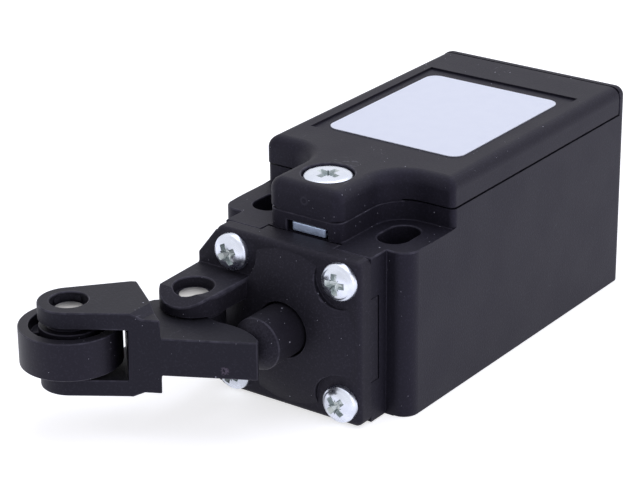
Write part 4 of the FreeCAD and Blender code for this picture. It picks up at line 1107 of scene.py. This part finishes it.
entry = next(mount for mount in record["mounts"] if mount["name"] == "cable_entry")
entry_x, mouth, entry_z = (part / MM for part in entry["pos_m"])
ridge = thread(root=entry["dims"]["r_mm"], crest=9.2, pitch=1.5,
               first=mouth - 7.1, last=mouth - 0.4, centre=(entry_x, entry_z))
mesh = mesh_from(ridge, "entry_thread", crease=30)
add("entry_thread", mesh, "housing", black["housing"])
print("thread of the cable entry:", len(mesh.polygons), "faces")

# %% [markdown]
# ## Ribs too small for the drawing
#
# The ring groove of the roller is braced by thin webs, and the hole above the fork pin is
# fluted where the pin was pressed in.  Both are rows of small upright webs round an axis,
# with a rounded top, so one function makes both.

# %% A ring of ribs
def ribs(name, node, near, far, low, high, thick, count, turn=0.0):
    """Upright webs between two radii, from low to high, round the axis of the roller."""
    shape = bmesh.new()
    shoulder = high - 0.12
    profile = ((-0.5, low), (0.5, low), (0.5, shoulder), (0.25, high), (-0.25, high),
               (-0.5, shoulder))
    for number in range(count):
        angle = math.tau * number / count + turn
        out = Vector((math.cos(angle), math.sin(angle), 0))
        side = Vector((-out.y, out.x, 0))
        inner, outer = ([shape.verts.new((hub + out * radius + side * thick * across
                                          + Vector((0, 0, height))) * MM)
                         for across, height in profile] for radius in (near, far))
        for step in range(len(profile)):
            after = (step + 1) % len(profile)
            shape.faces.new((inner[step], inner[after], outer[after], outer[step]))
        shape.faces.new(inner[::-1])
        shape.faces.new(outer)
    bmesh.ops.recalc_face_normals(shape, faces=shape.faces)
    add(name, mesh_from(shape, name), node, black[node])
    print(name, count, "ribs")


lowest, highest = box_mm("roller")
hub = Vector(((lowest.x + highest.x) / 2, (lowest.y + highest.y) / 2, 0))
for name, low, high in (("roller_ribs_above", 12.7, 13.3), ("roller_ribs_below", 10.1, 10.7)):
    ribs(name, "roller", near=4.0, far=5.35, low=low, high=high, thick=0.3, count=8)
ribs("fork_flutes", "lever", near=2.3, far=2.6, low=16.3, high=17.0, thick=0.9, count=5,
     turn=0.5)

# %% [markdown]
# ## Solids that keep their own shape
#
# The seals, the contacts and the terminal clamps sit inside, and their solids are already
# what they should be.  They only need the finish of rubber, brass, spring steel or zinc,
# which goes into the material slot of the solid itself.

# %% Give the other solids their finish
wear = {
    "cover_gasket": rubber, "screw_ring": rubber, "head_gasket": rubber, "plunger_seal": rubber,
    "opening_bridge": brass, "closing_bridge": brass,
    "opening_spring": spring_wire, "closing_spring": spring_wire,
    "opening_contact_right": brass, "opening_contact_left": brass,
    "closing_contact_right": brass, "closing_contact_left": brass,
    "terminal_clamps": zinc,
}
for node, finish in wear.items():
    nodes[node].data.materials.clear()
    nodes[node].data.materials.append(finish)
print("solids that keep their own shape:", len(wear))

# %% [markdown]
# ## Springs
#
# The lever pushes the plunger in, and the plunger pushes the contact carrier.  A coil spring
# behind each of them shortens by the travel and drives it back.  A copy of each spring, with a
# mesh of its own, stands for it.  As the joint moves, the spring flattens towards its seat; the
# share of its length that it keeps follows from the travel and the distance between the face
# that pushes it, which stands a little before its free end, and the seat, and here it is only
# worked out and printed.

# %% Copies of the springs
PLAY = 0.1 * MM

for joint in record["behaviour"]["joints"]:
    for part in joint.get("deforming_nodes", []):
        node, seat = part["node"], part["fixed_end_y_m"]
        free_end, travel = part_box(node)[0][1], joint["range_m"][1]
        keep = 1 - travel / (seat - free_end + PLAY)
        mesh = nodes[node].data.copy()
        mesh.materials.clear()
        coil = stand_in(node + "_coil", mesh, node, spring_wire)
        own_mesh(coil)
        print(node, "keeps", round(keep, 3), "of its length")

# %% [markdown]
# ## Floor and world
#
# The switch lies on a pale table.  The table and the world are plain white to the camera and
# in reflections, while the light that they throw on the switch stays moderate.  More light
# would also whiten them, but it would wash out the black plastic.  So a Light Path node
# tells which rays see the white and which only bring light.

# %% Floor
HALF_TABLE = 4.0
table_height = cad_box[0][2] - 0.02 * MM
table = bpy.data.meshes.new("table")
table.from_pydata([(x * HALF_TABLE, y * HALF_TABLE, table_height)
                   for x, y in ((-1, -1), (1, -1), (1, 1), (-1, 1))], [], [(0, 1, 2, 3)])
floor = bpy.data.objects.new("table", table)
bpy.context.scene.collection.objects.link(floor)
print("table at", round(table_height, 5))

# %% Floor finish
def in_plain_view(finish):
    """1 for rays from the camera, from a mirror or through glass, and 0 for other light."""
    seen, mirrored, through = (finish.node("ShaderNodeLightPath", {}, {}, f"Is {kind} Ray")
                               for kind in ("Camera", "Glossy", "Transmission"))
    return seen.maths("MAXIMUM", seen.maths("MAXIMUM", seen, mirrored), through)


WHITE = (1.0, 1.0, 1.0, 1.0)
PAPER = (0.8, 0.8, 0.8, 1.0)
paper = Finish("table_white")
glow = paper.node("ShaderNodeEmission", {}, {"Color": WHITE, "Strength": 0.68})
matt = paper.node("ShaderNodeBsdfDiffuse", {}, {"Color": PAPER})
both = paper.node("ShaderNodeAddShader", {}, {0: matt, 1: glow})
mixed = paper.node("ShaderNodeMixShader", {}, {0: in_plain_view(paper), 1: matt, 2: both})
paper.feed(paper.tree.nodes["Material Output"].inputs["Surface"], mixed)
table.materials.append(paper.material)
print("the table stays white to the camera")

# %% World
SHADE = 0.52
SKY_LIGHT = (0.885, 0.885, 1.0, 1.0)

world = bpy.data.worlds.new("studio")
world.use_nodes = True
bpy.context.scene.world = world
sky = Nodes(world.node_tree, "Background")
plain_view = in_plain_view(sky)
sky.set(Color=sky.blend(SKY_LIGHT, WHITE, plain_view),
        Strength=SHADE + plain_view * (1 - SHADE))
print("the world lights at", SHADE, "and shows as 1.0")

# %% [markdown]
# ## Lamps
#
# A product like this is lit with soft boxes, because a bare bulb would burn small hard spots
# into the screws.  One large lamp overhead gives the tops their lift, and a weaker one at the
# right does the same for the side.

# %% Two soft boxes
def softbox(name, place, aim, width, power, colour):
    """A square lamp that faces the place it is aimed at."""
    lamp = bpy.data.lights.new(name, "AREA")
    lamp.shape = "SQUARE"
    lamp.size = width
    lamp.energy = power
    lamp.color = colour
    holder = bpy.data.objects.new(name, lamp)
    holder.location = place
    holder.rotation_mode = "QUATERNION"
    holder.rotation_quaternion = (Vector(aim) - Vector(place)).to_track_quat("-Z", "Y")
    bpy.context.scene.collection.objects.link(holder)
    print(name, power, "W")


softbox("overhead", (0.05, 0.20, 0.65), (0, 0.01, 0.01), 0.7, 1.95, (0.84, 0.87, 1.0))
softbox("right_side", (0.75, 0.05, 0.25), (0, 0.01, 0.015), 0.5, 1.08, (0.90, 0.86, 1.0))

# %% [markdown]
# ## The camera
#
# The view is from the front and above, a little to the right of the head, through a long
# lens, so that the edges of the switch run nearly parallel.  The camera is placed by the
# direction it looks from and the point it looks at, which is easier to change than a
# position and three angles.

# %% Camera
azimuth, elevation, roll = math.radians(36.018), math.radians(22.910), math.radians(-0.593)
target = point(-5.773, 4.421, 17.098)
distance = 323.57
back = Vector((math.sin(azimuth) * math.cos(elevation),
               -math.cos(azimuth) * math.cos(elevation),
               math.sin(elevation)))
lens = bpy.data.cameras.new("camera")
lens.lens = 135.46
lens.sensor_width = 36.0
lens.clip_start = 0.01
camera = bpy.data.objects.new("camera", lens)
bpy.context.scene.collection.objects.link(camera)
camera.rotation_mode = "QUATERNION"
level = (-back).to_track_quat("-Z", "Y").to_matrix()
camera.rotation_quaternion = (Matrix.Rotation(roll, 3, back) @ level).to_quaternion()
camera.location = target + back * distance * MM
bpy.context.scene.camera = camera
print("camera at", [round(part, 4) for part in camera.location])

# %% [markdown]
# ## The end
#
# Rounding, screws and ribs must not make the switch larger than its drawing.  The last line
# shows the scene through the Standard view transform.

# %% The end
bpy.context.scene.view_settings.view_transform = "Standard"
